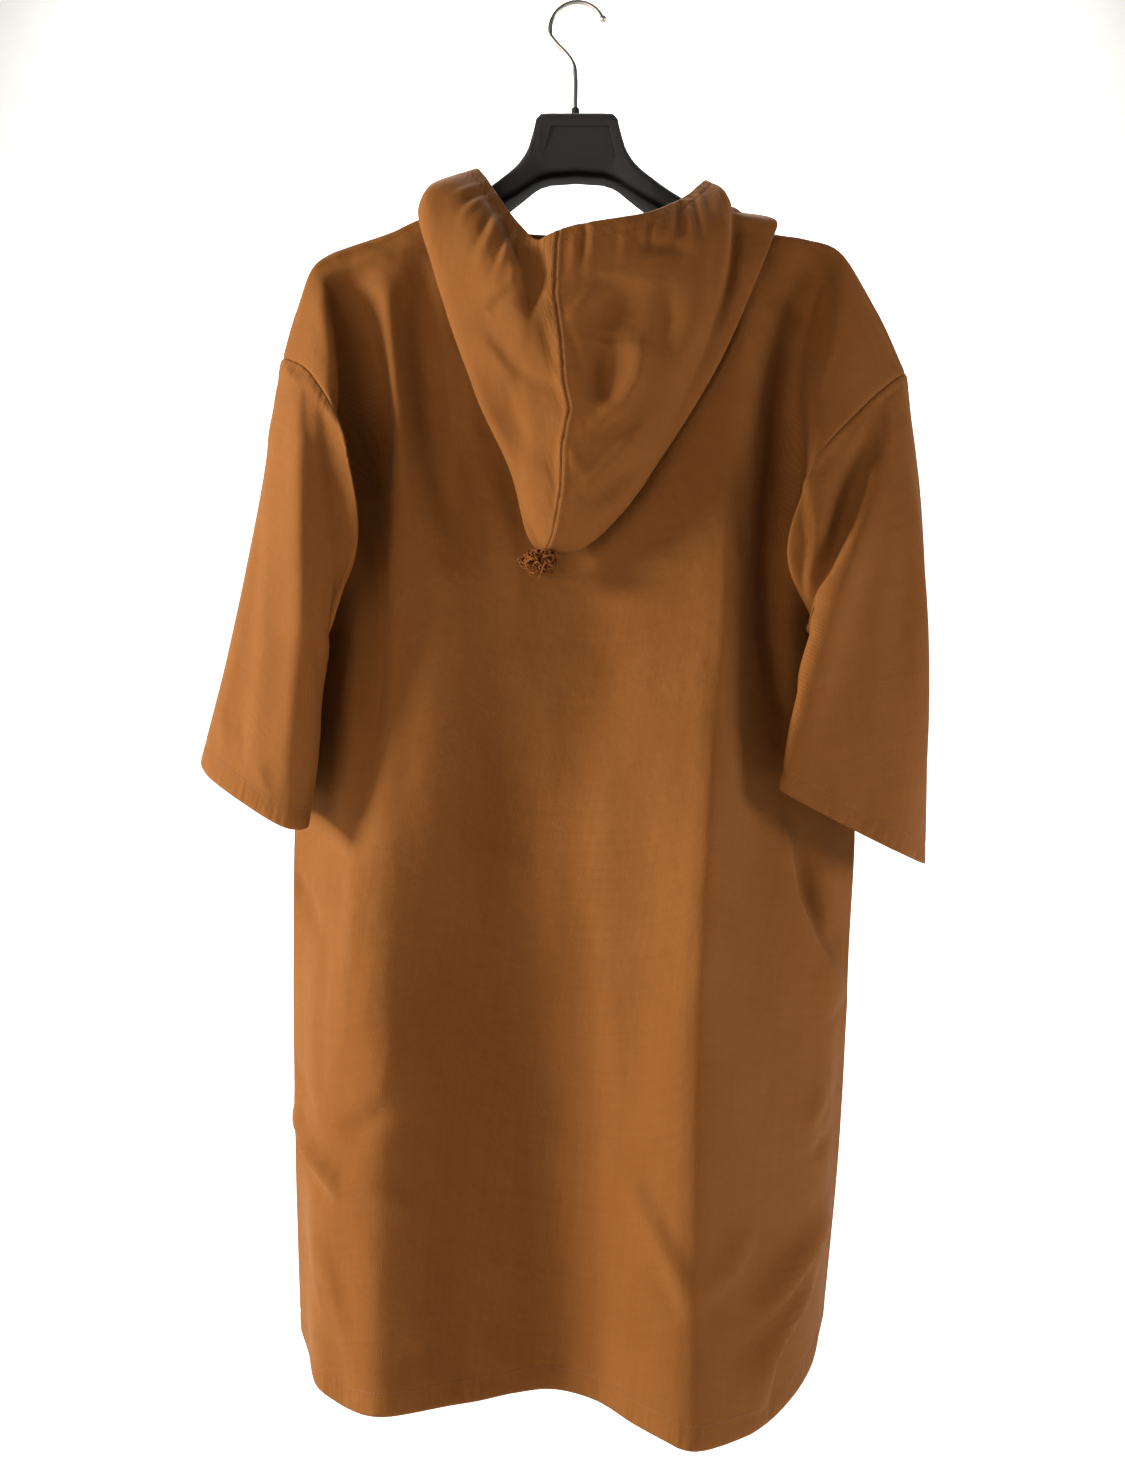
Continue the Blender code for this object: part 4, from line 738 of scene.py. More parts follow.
def panel_lines(face):
    """The lines down the front or the back, from the wearer's left side to the right."""
    folds, neck = (BACK_FOLDS, BACK_NECK) if face == "back" else (FRONT_FOLDS, FRONT_NECK)
    lines = []
    for side in ("left", "right"):
        half = [*edge_lines(side, face)]
        for kind in ("cap", "recess", "ridge", "shoulder"):
            name = side + "_" + kind
            half.append(shoulder_points(name, face) + fold_points(folds, name))
        if face == "front":
            sign = 1 if side == "left" else -1
            below, beyond = fold_points(folds, side + "_shoulder"), fold_points(folds, side + "_nape")
            for share, turns in FRONT_NECK_TURNS:
                start = [on_arm(sign * out, behind, drop) for out, behind, drop in turns]
                half.append(start + blend(below, beyond, share))
        names = ("nape", "mid", "valley") if side == "left" else ("nape", "inner", "mid")
        for kind, top in zip(names, neck):
            lower = fold_points(folds, side + "_" + kind)
            top = top if side == "left" else (-top[0], top[1], top[2])
            half.append(neck_points(top, lower[0], face) + lower)
        if side == "left":
            lower = fold_points(folds, "centre")
            lines = half + [neck_points(neck[-1], lower[0], face) + lower]
        else:
            lines += half[::-1]
    return np.array(lines)


PANEL_LINES = {face: panel_lines(face) for face in ("back", "front")}
PANEL_STEPS = {"back": (BACK_DOWN, BACK_ACROSS), "front": (FRONT_DOWN, FRONT_ACROSS)}


def panel(face, rows, columns):
    """The front or the back as a grid: rows go down, columns from the wearer's left side to the right."""
    down, across = PANEL_STEPS[face]
    net = curve(PANEL_LINES[face].transpose(1, 0, 2), span_of(rows, down))
    return off_the_arm(curve(net.transpose(1, 0, 2), span_of(columns, across)).transpose(1, 0, 2))


def sleeve(side, around, down):
    """A sleeve as a grid of rings, whose first ring is the armhole edge of the two panels."""
    line = 0 if side == "left" else -1
    total = BACK_ARMHOLE_CELLS + FRONT_ARMHOLE_CELLS
    behind, before = around[around < BACK_ARMHOLE_CELLS], around[around >= BACK_ARMHOLE_CELLS]
    ring = np.vstack([
        curve(PANEL_LINES["back"][line], span_of(behind, BACK_DOWN)),
        curve(PANEL_LINES["front"][line], span_of(total - before, FRONT_DOWN)),
    ])
    places = np.concatenate([
        behind / BACK_ARMHOLE_CELLS * ARMHOLE_SPANS,
        ARMHOLE_SPANS * (1 + (before - BACK_ARMHOLE_CELLS) / FRONT_ARMHOLE_CELLS),
    ])
    lines = MM * np.array(list(SLEEVES[side].values()))
    rings = np.concatenate([[ring], curve(lines, places, closed=True).transpose(1, 0, 2)])
    grid = curve(rings, span_of(down, SLEEVE_DOWN))
    return grid if side == "left" else grid[:, ::-1]


def neckline(side, places):
    """Points of the neck seam, from the middle of the back round to the middle of the front."""
    sign = -1 if side == "left" else 1
    middle_back, middle_front = sum(BACK_ACROSS) // 2, sum(FRONT_ACROSS) // 2
    back_cells = middle_back + sign * np.minimum(places, HOOD_BEHIND)
    front_cells = middle_front + sign * (HOOD_BEHIND + HOOD_AHEAD - np.maximum(places, HOOD_BEHIND))
    behind = curve(PANEL_LINES["back"][:, 0], span_of(back_cells, BACK_ACROSS))
    before = curve(PANEL_LINES["front"][:, 0], span_of(front_cells, FRONT_ACROSS))
    return off_the_arm(np.where((places <= HOOD_BEHIND)[:, None], behind, before))


def hood(side, rows, places):
    """Half of the hood as a grid: rows leave the neck seam, columns go round from the middle of the back."""
    stations, lines = [0], [[*neckline(side, np.zeros(1)), *MM * np.array(HOOD_MIDDLE)]]
    for place, points in HOOD_BACK[side]:
        stations.append(place)
        start = neckline(side, np.array([math.floor(place), math.ceil(place)])).mean(axis=0)
        lines.append([start, *MM * np.array(points)])
    for place, points in (*HOOD_FRONT[side], HOOD_FRONT_MIDDLE):
        stations.append(place)
        start, (wide, rim) = neckline(side, np.array([place]))[0], MM * np.array(points)
        lines.append([(1 - t) ** 2 * start + 2 * t * (1 - t) * wide + t * t * rim for t in COLLAR_SHARES])
    net = curve(np.array(lines).transpose(1, 0, 2), span_of(rows, HOOD_AROUND))
    grid = curve(net.transpose(1, 0, 2), np.interp(places, stations, np.arange(len(stations))))
    grid = grid.transpose(1, 0, 2)
    grid[0] = neckline(side, places)
    grid[1:] = off_the_arm(grid[1:])
    return grid if side == "left" else grid[:, ::-1]


def grid_normals(grid, closed):
    """Outward directions of a grid: the mean of the faces around each point."""
    around = np.concatenate([grid, grid[:, :1]], axis=1) if closed else grid
    facing = np.cross(around[1:, 1:] - around[:-1, :-1], around[:-1, 1:] - around[1:, :-1])
    facing /= np.linalg.norm(facing, axis=2, keepdims=True) + NO_AREA
    normals = np.zeros(around.shape)
    normals[:-1, :-1] += facing
    normals[1:, :-1] += facing
    normals[:-1, 1:] += facing
    normals[1:, 1:] += facing
    if closed:
        normals[:, 0] += normals[:, -1]
        normals = normals[:, :-1]
    return normals / (np.linalg.norm(normals, axis=2, keepdims=True) + NO_AREA)


def ease(value):
    """A soft step from 0 to 1."""
    value = np.clip(value, 0, 1)
    return value * value * (3 - 2 * value)


def edge_distances(grid):
    """Distances along the cloth from the top, the bottom, the first and the last edge."""
    down = np.zeros(grid.shape[:2])
    down[1:] = np.cumsum(np.linalg.norm(np.diff(grid, axis=0), axis=2), axis=0)
    across = np.zeros(grid.shape[:2])
    across[:, 1:] = np.cumsum(np.linalg.norm(np.diff(grid, axis=1), axis=2), axis=1)
    return {"top": down, "bottom": down[-1:] - down, "first": across, "last": across[:, -1:] - across}


def crease_lift(grid, facing):
    """How far one side's creases raise the cloth, as soft ridges and troughs along their paths."""
    spots = grid[..., (0, 2)].reshape(-1, 2)
    lift = np.zeros(len(spots))
    for soft_side, steep_side, rise, *path in facing:
        path = MM * np.array(path, float)
        lengths = np.linalg.norm(np.diff(path, axis=0), axis=1)
        starts = np.concatenate([[0], np.cumsum(lengths)])
        nearest, along, side = np.full(len(spots), np.inf), np.zeros(len(spots)), np.ones(len(spots))
        for begin, end, length, start in zip(path, path[1:], lengths, starts):
            step = (end - begin) / length
            away = spots - begin
            share = np.clip(away @ step, 0, length)
            gap = away - share[:, None] * step
            distance = np.hypot(gap[:, 0], gap[:, 1])
            closer = distance < nearest
            nearest[closer] = distance[closer]
            along[closer] = (start + share[closer]) / starts[-1]
            side[closer] = (step[0] * away[:, 1] - step[1] * away[:, 0])[closer]
        share = 0.5 + 0.5 * np.clip(side / (CREST_SHARE * MM * (soft_side + steep_side)), -1, 1)
        width = (steep_side + (soft_side - steep_side) * share) * MM
        fade = np.sin(np.pi * np.clip(along, CREASE_TIP, 1 - CREASE_TIP)) ** CREASE_TAPER
        lift += rise * MM * np.exp(-((nearest / width) ** 2)) * fade
    return lift.reshape(grid.shape[:2])


def lift_of(name, grid, normals):
    """The lift of a piece by its creases: those behind it raise what faces back, those ahead the rest."""
    if name in CREASES:
        return crease_lift(grid, CREASES[name])
    behind = ease((normals[..., 1] + BACK_TURN) / (2 * BACK_TURN))
    lift = crease_lift(grid, CREASES[name + " behind"]) * behind
    if name.startswith("hood"):
        ahead = (1 - behind) * (grid[..., 1] < COLLAR_AHEAD)
        return lift + crease_lift(grid, CREASES["collar ahead"]) * ahead
    return lift + crease_lift(grid, CREASES[name + " ahead"]) * (1 - behind)


def stray(grid, normals, distance):
    """Slides the hood's outer layer sideways near its middle seam, which doesn't run straight."""
    heights, aside = MM * np.array(SEAM_STRAYS, float).T
    outer = ease((normals[..., 1] - STRAY_FROM) / STRAY_OVER)
    moved = grid.copy()
    reach = np.exp(-((distance / STRAY_REACH) ** 2))
    moved[..., 0] -= np.interp(grid[..., 2], heights, aside) * reach * outer
    return moved


def raise_felled_seam(lift, along, away):
    """Raises the felled seam and the uneven puckers of the cloth beside it."""
    turns = 2 * np.pi * along / PUCKER_STEP
    swing = RISE_MEAN + RISE_SWING * np.sin(RISE_RATE * turns + RISE_START)
    waves = np.sin(turns + STEP_WANDER * np.sin(STEP_RATE * turns)) * swing
    puckered = lift + PUCKER_RISE * waves * np.exp(-((away / PUCKER_REACH) ** 2))
    return puckered + HOOD_SEAM_RISE * (1 - ease((away - HOOD_SEAM_HALF) / HOOD_SEAM_SLOPE))


def cloth_section(far, sewn, band):
    """How far the cloth sinks, and how far its outer and its inner face lie from its middle. Sewn edges sink
    and thin towards their seam, and the bottom edge is turned up inside and stitched."""
    sink = np.zeros(far["top"].shape)
    half = np.full(far["top"].shape, CLOTH / 2)
    for edge in sewn:
        sink += SEAM_DIP * np.exp(-((far[edge] / SEAM_REACH) ** 2))
        half *= SEAM_THIN + (1 - SEAM_THIN) * ease(far[edge] / SEAM_REACH)
    stitched = band - STITCH_INSET
    sink += GROOVE_DEPTH * np.exp(-(((far["bottom"] - stitched) / GROOVE_REACH) ** 2))
    inner = half + BAND_PLIES * CLOTH * ease((band - far["bottom"]) / PLY_STEP)
    tip = TIP_SHARE + (1 - TIP_SHARE) * ease(far["bottom"] / TIP_REACH) ** 0.5
    return sink, half * tip, inner * tip


# Where the neck seam lies on the back and the front, and how far it moves there.
neck_seam = {"points": [], "moves": []}


def shut_neck_seam(name, grid, middle):
    """Moves the hood's sewn edge as far as the back's and the front's sewn edges have moved."""
    if name in PANEL_LINES:
        neck_seam["points"].append(grid[0])
        neck_seam["moves"].append(middle[0] - grid[0])
    elif name.startswith("hood"):
        points, moves = (np.vstack(neck_seam[key]) for key in ("points", "moves"))
        distances = np.linalg.norm(grid[0][:, None] - points, axis=2)
        order = np.argsort(distances, axis=1)[:, :2]
        near = np.take_along_axis(distances, order, axis=1) + NO_LENGTH
        share = (near[:, 1] / near.sum(axis=1))[:, None]
        middle[0] = grid[0] + moves[order[:, 0]] * share + moves[order[:, 1]] * (1 - share)


def shell_faces(rows, columns, closed):
    """The faces of a shell, whose outer points are numbered row by row before its inner ones."""
    total, wide = rows * columns, columns if closed else columns - 1
    row, column = (part.ravel() for part in np.mgrid[0 : rows - 1, 0:wide])
    a, b = row * columns + column, row * columns + (column + 1) % columns
    outside = np.stack([a, a + columns, b + columns, b], axis=1)
    top = np.arange(wide)
    top_next = (top + 1) % columns
    low, low_next = ((rows - 1) * columns + points for points in (top, top_next))
    quads = [
        outside,
        total + outside[:, ::-1],
        np.stack([top, top_next, total + top_next, total + top], axis=1),
        np.stack([low_next, low, total + low, total + low_next], axis=1),
    ]
    if not closed:
        side = np.arange(rows - 1) * columns
        below = side + columns
        quads.append(np.stack([below, side, total + side, total + below], axis=1))
        side, below = side + columns - 1, below + columns - 1
        quads.append(np.stack([side, below, total + below, total + side], axis=1))
    return np.concatenate(quads)


def new_piece(name, points, faces, finish):
    """A smooth mesh with a finish, on an object of its own at the origin."""
    mesh = bpy.data.meshes.new(name)
    mesh.from_pydata(points, [], faces)
    mesh.shade_smooth()
    mesh.materials.append(finish)
    made = bpy.data.objects.new(name, mesh)
    bpy.context.scene.collection.objects.link(made)
    return made


def add_cloth_map(mesh, far, faces):
    """The cloth's own map, in metres along and across it, which the weave follows."""
    flat = np.stack([far["first"], -far["top"]], axis=2).reshape(-1, 2)
    corners = faces.ravel() % len(flat)
    mesh.uv_layers.new(name="cloth").data.foreach_set("uv", flat[corners].astype(np.float32).ravel())


def add_puckers(mesh, key, distances):
    """Marks where the cloth gathers beside its seams and hems."""
    mask = np.zeros(len(mesh.vertices) // 2)
    for distance in distances:
        past = np.maximum(distance.ravel() - PUCKER_NEAR, 0)
        mask = np.maximum(mask, np.exp(-((past / PUCKER_FADE) ** 2)))
    pucker = mesh.attributes.new(key, "FLOAT", "POINT")
    pucker.data.foreach_set("value", np.tile(mask, 2).astype(np.float32))


def cloth_shell(name, grid, far, band, sewn, felled):
    """A thin shell of cloth on a grid, with its outer points and their directions."""
    closed = name.startswith("sleeve")
    normals = grid_normals(grid, closed)
    lift = lift_of(name, grid, normals)
    for edge in sewn:
        lift *= ease(far[edge] / CREASE_MARGIN)
    if felled:
        grid = stray(grid, normals, far[felled])
        lift = raise_felled_seam(lift, far["top"], far[felled])
    sink, half, inner = cloth_section(far, sewn, band)
    middle = grid + normals * (lift - sink)[..., None]
    shut_neck_seam(name, grid, middle)
    normals = grid_normals(middle, closed)
    outer, within = middle + normals * half[..., None], middle - normals * inner[..., None]
    points = np.vstack([outer.reshape(-1, 3), within.reshape(-1, 3)])
    faces = shell_faces(*grid.shape[:2], closed)
    made = new_piece(name + "_cloth", points, faces.tolist(), COTTON)
    add_cloth_map(made.data, far, faces)
    add_puckers(made.data, "level_puckers", [far["top"], far["bottom"]])
    add_puckers(made.data, "upright_puckers", [far[edge] for edge in SIDES if edge in sewn])
    return made, outer, normals


def linear(hex_colour):
    """An sRGB hex colour as the linear values that a shader takes."""
    parts = [int(hex_colour[i : i + 2], 16) / 255 for i in (1, 3, 5)]
    return (*[c / 12.92 if c <= 0.04045 else ((c + 0.055) / 1.055) ** 2.4 for c in parts], 1.0)


def add_node(tree, kind, settings=(), links=()):
    """Adds a node: settings by attribute or input, and links into its inputs."""
    node = tree.nodes.new(kind)
    for key, value in dict(settings).items():
        if isinstance(key, str) and hasattr(node, key):
            setattr(node, key, value)
        else:
            node.inputs[key].default_value = value
    for key, source in dict(links).items():
        tree.links.new(source, node.inputs[key])
    return node


def new_material(name, colour, settings):
    """A material with one Principled shader, its flat colour and its settings."""
    made = bpy.data.materials.new(name)
    made.use_nodes = True
    shader = made.node_tree.nodes["Principled BSDF"]
    shader.inputs["Base Color"].default_value = linear(colour)
    for key, value in settings.items():
        shader.inputs[key].default_value = value
    return made, made.node_tree, shader


def woven_cotton():
    """Plain-weave cotton, piece dyed: matte, with a slight sheen of fibre ends and a fine even grain of
    threads whose thickness varies along them."""
    made, tree, shader = new_material(
        "plain_weave_cotton", "#86501F",
        {"Roughness": 0.85, "Specular IOR Level": 0.12, "Sheen Weight": 0.08, "Sheen Roughness": 0.5,
         "Sheen Tint": linear("#DDB47C")},
    )
    cloth = add_node(tree, "ShaderNodeUVMap", {"uv_map": "cloth"}).outputs["UV"]
    frequency = 1 / (2 * THREAD_SPACING * MM)
    waves = []
    for direction, stretch in (("X", (6.0, 240.0, 1.0)), ("Y", (240.0, 6.0, 1.0))):
        slubs = add_node(tree, "ShaderNodeMapping", {"Scale": stretch}, {"Vector": cloth})
        uneven = add_node(
            tree, "ShaderNodeTexNoise", {"Scale": 1.0, "Detail": 2.0}, {"Vector": slubs.outputs["Vector"]}
        )
        wave = add_node(
            tree, "ShaderNodeTexWave",
            {"bands_direction": direction, "Scale": frequency / BANDS, "Distortion": 0.6, "Detail": 1.0,
             "Detail Scale": 1.5},
            {"Vector": cloth},
        )
        waves.append(add_node(
            tree, "ShaderNodeMath", {"operation": "MULTIPLY"},
            {0: wave.outputs["Fac"], 1: uneven.outputs["Fac"]},
        ))
    weave = add_node(
        tree, "ShaderNodeMath", {"operation": "ADD"}, {0: waves[0].outputs[0], 1: waves[1].outputs[0]}
    )
    place = add_node(tree, "ShaderNodeTexCoord").outputs["Object"]
    worn = add_node(tree, "ShaderNodeTexNoise", {"Scale": 9.0, "Detail": 4.0}, {"Vector": place})
    shade = add_node(
        tree, "ShaderNodeMix", {"data_type": "RGBA", "A": linear("#78481D"), "B": linear("#88582C")},
        {"Factor": worn.outputs["Fac"]},
    )
    ramp = add_node(tree, "ShaderNodeValToRGB", {}, {"Fac": weave.outputs[0]})
    for element, position, colour in zip(ramp.color_ramp.elements, (0.25, 0.75), ("#9A9A9A", "#FFFFFF")):
        element.position = position
        element.color = linear(colour)
    grain = add_node(
        tree, "ShaderNodeMix", {"data_type": "RGBA", "blend_type": "MULTIPLY", "Factor": 0.30},
        {"A": shade.outputs["Result"], "B": ramp.outputs["Color"]},
    )
    tree.links.new(grain.outputs["Result"], shader.inputs["Base Color"])
    last = add_node(
        tree, "ShaderNodeBump", {"Strength": 0.22, "Distance": 0.0004}, {"Height": weave.outputs[0]}
    )
    for scale, detail, distance in ((15.0, 3.0, 0.0070), (48.0, 4.0, 0.0024)):
        rumpled = add_node(tree, "ShaderNodeTexNoise", {"Scale": scale, "Detail": detail}, {"Vector": place})
        last = add_node(
            tree, "ShaderNodeBump", {"Strength": 0.5, "Distance": distance},
            {"Height": rumpled.outputs["Fac"], "Normal": last.outputs["Normal"]},
        )
    for key, stretch, strength in (
        ("level_puckers", (130.0, 26.0, 1.0), 0.7), ("upright_puckers", (26.0, 110.0, 1.0), 0.22)
    ):
        gathers = add_node(tree, "ShaderNodeMapping", {"Scale": stretch}, {"Vector": cloth})
        ripple = add_node(
            tree, "ShaderNodeTexNoise", {"Scale": 1.0, "Detail": 1.0}, {"Vector": gathers.outputs["Vector"]}
        )
        mask = add_node(tree, "ShaderNodeAttribute", {"attribute_name": key})
        height = add_node(
            tree, "ShaderNodeMath", {"operation": "MULTIPLY"},
            {0: ripple.outputs["Fac"], 1: mask.outputs["Fac"]},
        )
        last = add_node(
            tree, "ShaderNodeBump", {"Strength": strength, "Distance": 0.0030},
            {"Height": height.outputs[0], "Normal": last.outputs["Normal"]},
        )
    tree.links.new(last.outputs["Normal"], shader.inputs["Normal"])
    return made


def sewing_thread():
    """Spun polyester thread, dyed to the cloth: a little darker and smoother than the cotton."""
    made, tree, shader = new_material(
        "spun_polyester_thread", "#7A4A1E", {"Roughness": 0.6, "Sheen Weight": 0.1}
    )
    place = add_node(tree, "ShaderNodeTexCoord").outputs["Object"]
    twist = add_node(tree, "ShaderNodeTexNoise", {"Scale": 900.0, "Detail": 1.0}, {"Vector": place})
    bump = add_node(
        tree, "ShaderNodeBump", {"Strength": 0.3, "Distance": 0.0002}, {"Height": twist.outputs["Fac"]}
    )
    tree.links.new(bump.outputs["Normal"], shader.inputs["Normal"])
    return made


def cotton_yarn():
    """Twisted cotton yarn: fuzzy, with a fine noise of painted highlight and painted shade that stands for
    light on its twists and shade between them.
    """
    made, tree, shader = new_material(
        "twisted_cotton_yarn", "#8B5628",
        {"Roughness": 0.9, "Specular IOR Level": 0.15, "Sheen Weight": 0.1, "Sheen Tint": linear("#C98B4E")},
    )
    place = add_node(tree, "ShaderNodeTexCoord").outputs["Object"]
    plies_and_painted_light = add_node(tree, "ShaderNodeTexNoise", {"Scale": 700.0, "Detail": 3.0}, {"Vector": place})
    # Painted highlight and painted shade: the noise mixes a near-black and a light brown for light on the
    # twists and shade between them; the same noise also drives the bump.
    shade = add_node(
        tree, "ShaderNodeMix", {"data_type": "RGBA", "A": linear("#47280F"), "B": linear("#93592A")},
        {"Factor": plies_and_painted_light.outputs["Fac"]},
    )
    tree.links.new(shade.outputs["Result"], shader.inputs["Base Color"])
    bump = add_node(
        tree, "ShaderNodeBump", {"Strength": 0.6, "Distance": 0.0004}, {"Height": plies_and_painted_light.outputs["Fac"]}
    )
    tree.links.new(bump.outputs["Normal"], shader.inputs["Normal"])
    return made


def moulded_plastic():
    """Injection-moulded polystyrene in charcoal, with fine spark-eroded grain, and painted shade that turns
    its underside near-black.
    """
    settings = {"Roughness": 0.60, "Specular IOR Level": 0.08}
    made, tree, shader = new_material("moulded_polystyrene", "#343437", settings)
    coordinates = add_node(tree, "ShaderNodeTexCoord")
    place = coordinates.outputs["Object"]
    spark = add_node(tree, "ShaderNodeTexNoise", {"Scale": 1400.0, "Detail": 2.0}, {"Vector": place})
    dull = add_node(tree, "ShaderNodeTexNoise", {"Scale": 35.0, "Detail": 4.0}, {"Vector": place})
    shade = add_node(
        tree, "ShaderNodeMix", {"data_type": "RGBA", "A": linear("#303033"), "B": linear("#38383B")},
        {"Factor": dull.outputs["Fac"]},
    )
    # Painted shade: faces that point down are blended towards near-black, standing in for the shade beneath
    # the hanger's arm.
    facing = add_node(tree, "ShaderNodeSeparateXYZ", {}, {"Vector": coordinates.outputs["Normal"]})
    underside_painted_shade = add_node(
        tree, "ShaderNodeMapRange", {"From Min": -0.15, "From Max": -0.60}, {"Value": facing.outputs["Z"]}
    )
    darker = add_node(
        tree, "ShaderNodeMix", {"data_type": "RGBA", "B": linear("#050506")},
        {"Factor": underside_painted_shade.outputs["Result"], "A": shade.outputs["Result"]},
    )
    tree.links.new(darker.outputs["Result"], shader.inputs["Base Color"])
    bump = add_node(
        tree, "ShaderNodeBump", {"Strength": 0.25, "Distance": 0.0002}, {"Height": spark.outputs["Fac"]}
    )
    tree.links.new(bump.outputs["Normal"], shader.inputs["Normal"])
    return made


def plated_steel():
    """Nickel-plated spring wire: bright, with faint lines along it from the drawing die."""
    made, tree, shader = new_material("nickel_plated_wire", "#B9B7B2", {"Metallic": 1.0, "Roughness": 0.34})
    place = add_node(tree, "ShaderNodeTexCoord").outputs["Object"]
    stretch = add_node(tree, "ShaderNodeMapping", {"Scale": (900.0, 900.0, 60.0)}, {"Vector": place})
    drawn = add_node(
        tree, "ShaderNodeTexNoise", {"Scale": 1.0, "Detail": 2.0}, {"Vector": stretch.outputs["Vector"]}
    )
    bump = add_node(
        tree, "ShaderNodeBump", {"Strength": 0.12, "Distance": 0.0001}, {"Height": drawn.outputs["Fac"]}
    )
    tree.links.new(bump.outputs["Normal"], shader.inputs["Normal"])
    return made


def matte_paint():
    """Plain pale paint of the floor and the wall behind."""
    return new_material("pale_matte_paint", "#E2E1DE", {"Roughness": 0.9})[0]


COTTON, SEWING_THREAD, YARN = woven_cotton(), sewing_thread(), cotton_yarn()
PLASTIC, STEEL, PAINT = moulded_plastic(), plated_steel(), matte_paint()


def line_beside(points, far, edge, distance):
    """A line on a grid at one distance from an edge, read along the rows or the columns that meet it."""
    depth = far[edge]
    if edge in SIDES:
        depth, points = depth.T, points.transpose(1, 0, 2)
    line = []
    for j in range(points.shape[1]):
        order = np.argsort(depth[:, j])
        line.append([np.interp(distance, depth[order, j], points[order, j, k]) for k in range(3)])
    return np.array(line)


def tube_faces(first, rings, sides):
    """The faces of a closed tube whose rings of points are numbered one after the other."""
    faces = []
    for ring in range(rings - 1):
        for j in range(sides):
            a, b = first + ring * sides + j, first + ring * sides + (j + 1) % sides
            faces.append((a, b, b + sides, a + sides))
    end = first + rings * sides
    return [*faces, tuple(range(first + sides - 1, first - 1, -1)), tuple(range(end - sides, end))]


def add_stitches(name, lines):
    """Rows of stitches: each a short rounded bar of thread that lies along its line on the cloth."""
    points, faces = [], []
    angles = np.radians(np.arange(0, 360, 360 // THREAD_SIDES))
    for path, normals in lines:
        lengths = np.concatenate([[0], np.cumsum(np.linalg.norm(np.diff(path, axis=0), axis=1))])
        for start in np.arange(STITCH_STEP / 2, lengths[-1] - STITCH, STITCH_STEP):
            ends = [[np.interp(s, lengths, path[:, k]) for k in range(3)] for s in (start, start + STITCH)]
            out = np.array([np.interp(start, lengths, normals[:, k]) for k in range(3)])
            begin, end = np.array(ends)
            along = (end - begin) / np.linalg.norm(end - begin)
            across = np.cross(out, along)
            faces.extend(tube_faces(len(points), len(STITCH_RINGS), THREAD_SIDES))
            for share, thick in STITCH_RINGS:
                centre, swell = begin + (end - begin) * share, THREAD * thick
                points.extend(centre + swell * (math.cos(a) * across + math.sin(a) * out) for a in angles)
    return new_piece(name, points, faces, SEWING_THREAD)


def settle(made, slot, *nodes):
    """Gives a piece its body, and hides the solids that it stands for. Its slot is not used."""
    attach(made, "root")
    if nodes:
        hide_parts(*nodes)


def panel_columns(across):
    """The columns of a panel, alike beside the sides of both, so that the shoulder seams meet."""
    total, beside = sum(across), samples(0, SHOULDER_CELLS, FINE_ACROSS, (True, False))
    between = samples(SHOULDER_CELLS, total - SHOULDER_CELLS, FINE_ACROSS, (False, False))
    return np.unique(np.concatenate([beside, between, total - beside]))


def cloth_grids():
    """The middle of each piece of cloth as a grid of points."""
    back = panel("back", samples(0, sum(BACK_DOWN), FINE_DOWN), panel_columns(BACK_ACROSS))
    front = panel("front", samples(0, sum(FRONT_DOWN), FINE_DOWN), panel_columns(FRONT_ACROSS))
    shared = len(samples(0, SHOULDER_CELLS, FINE_ACROSS, (True, False)))
    front[0, :shared], front[0, -shared:] = back[0, :shared], back[0, -shared:]
    around = samples(0, BACK_ARMHOLE_CELLS + FRONT_ARMHOLE_CELLS, FINE_AROUND, (False, False))[:-1]
    down = samples(0, sum(SLEEVE_DOWN), FINE_DOWN)
    rows = samples(0, sum(HOOD_AROUND), FINE_HOOD)
    places = samples(0, HOOD_BEHIND + HOOD_AHEAD, FINE_AROUND)
    grids = {"back": back, "front": front[:, ::-1]}
    for side in ("left", "right"):
        grids["sleeve_" + side] = sleeve(side, around, down)
        grids["hood_" + side] = hood(side, rows, places)
    return grids


SHEETS = {
    # the turned band, the sewn edges and the felled one, then the width, length and area of the flat cut
    "back": (HEM_DEPTH, ("top", *SIDES), None, 0.70, 0.95, 0.516),
    "front": (HEM_DEPTH, ("top", *SIDES), None, 0.66, 0.94, 0.470),
    "sleeve_left": (HEM_DEPTH, ("top",), None, 0.46, 0.34, 0.120),
    "sleeve_right": (HEM_DEPTH, ("top",), None, 0.46, 0.34, 0.120),
    "hood_left": (FACE_DEPTH, ("top", *SIDES), "first", 0.30, 0.36, 0.068),
    "hood_right": (FACE_DEPTH, ("top", *SIDES), "last", 0.30, 0.36, 0.068),
}
grids = cloth_grids()
for name, (band, sewn, felled, width, length, area) in SHEETS.items():
    far = edge_distances(grids[name])
    shell, outer, normals = cloth_shell(name, grids[name], far, band, sewn, felled)
    settle(shell, "robe_cloth", name)
    rows = [("bottom", band - STITCH_INSET)]
    if felled:
        rows.append((felled, HOOD_SEAM_HALF - HOOD_SEAM_INSET))
    lines = [(line_beside(outer, far, *row), line_beside(normals, far, *row)) for row in rows]
    settle(add_stitches(name + "_stitches", lines), "robe_cloth")


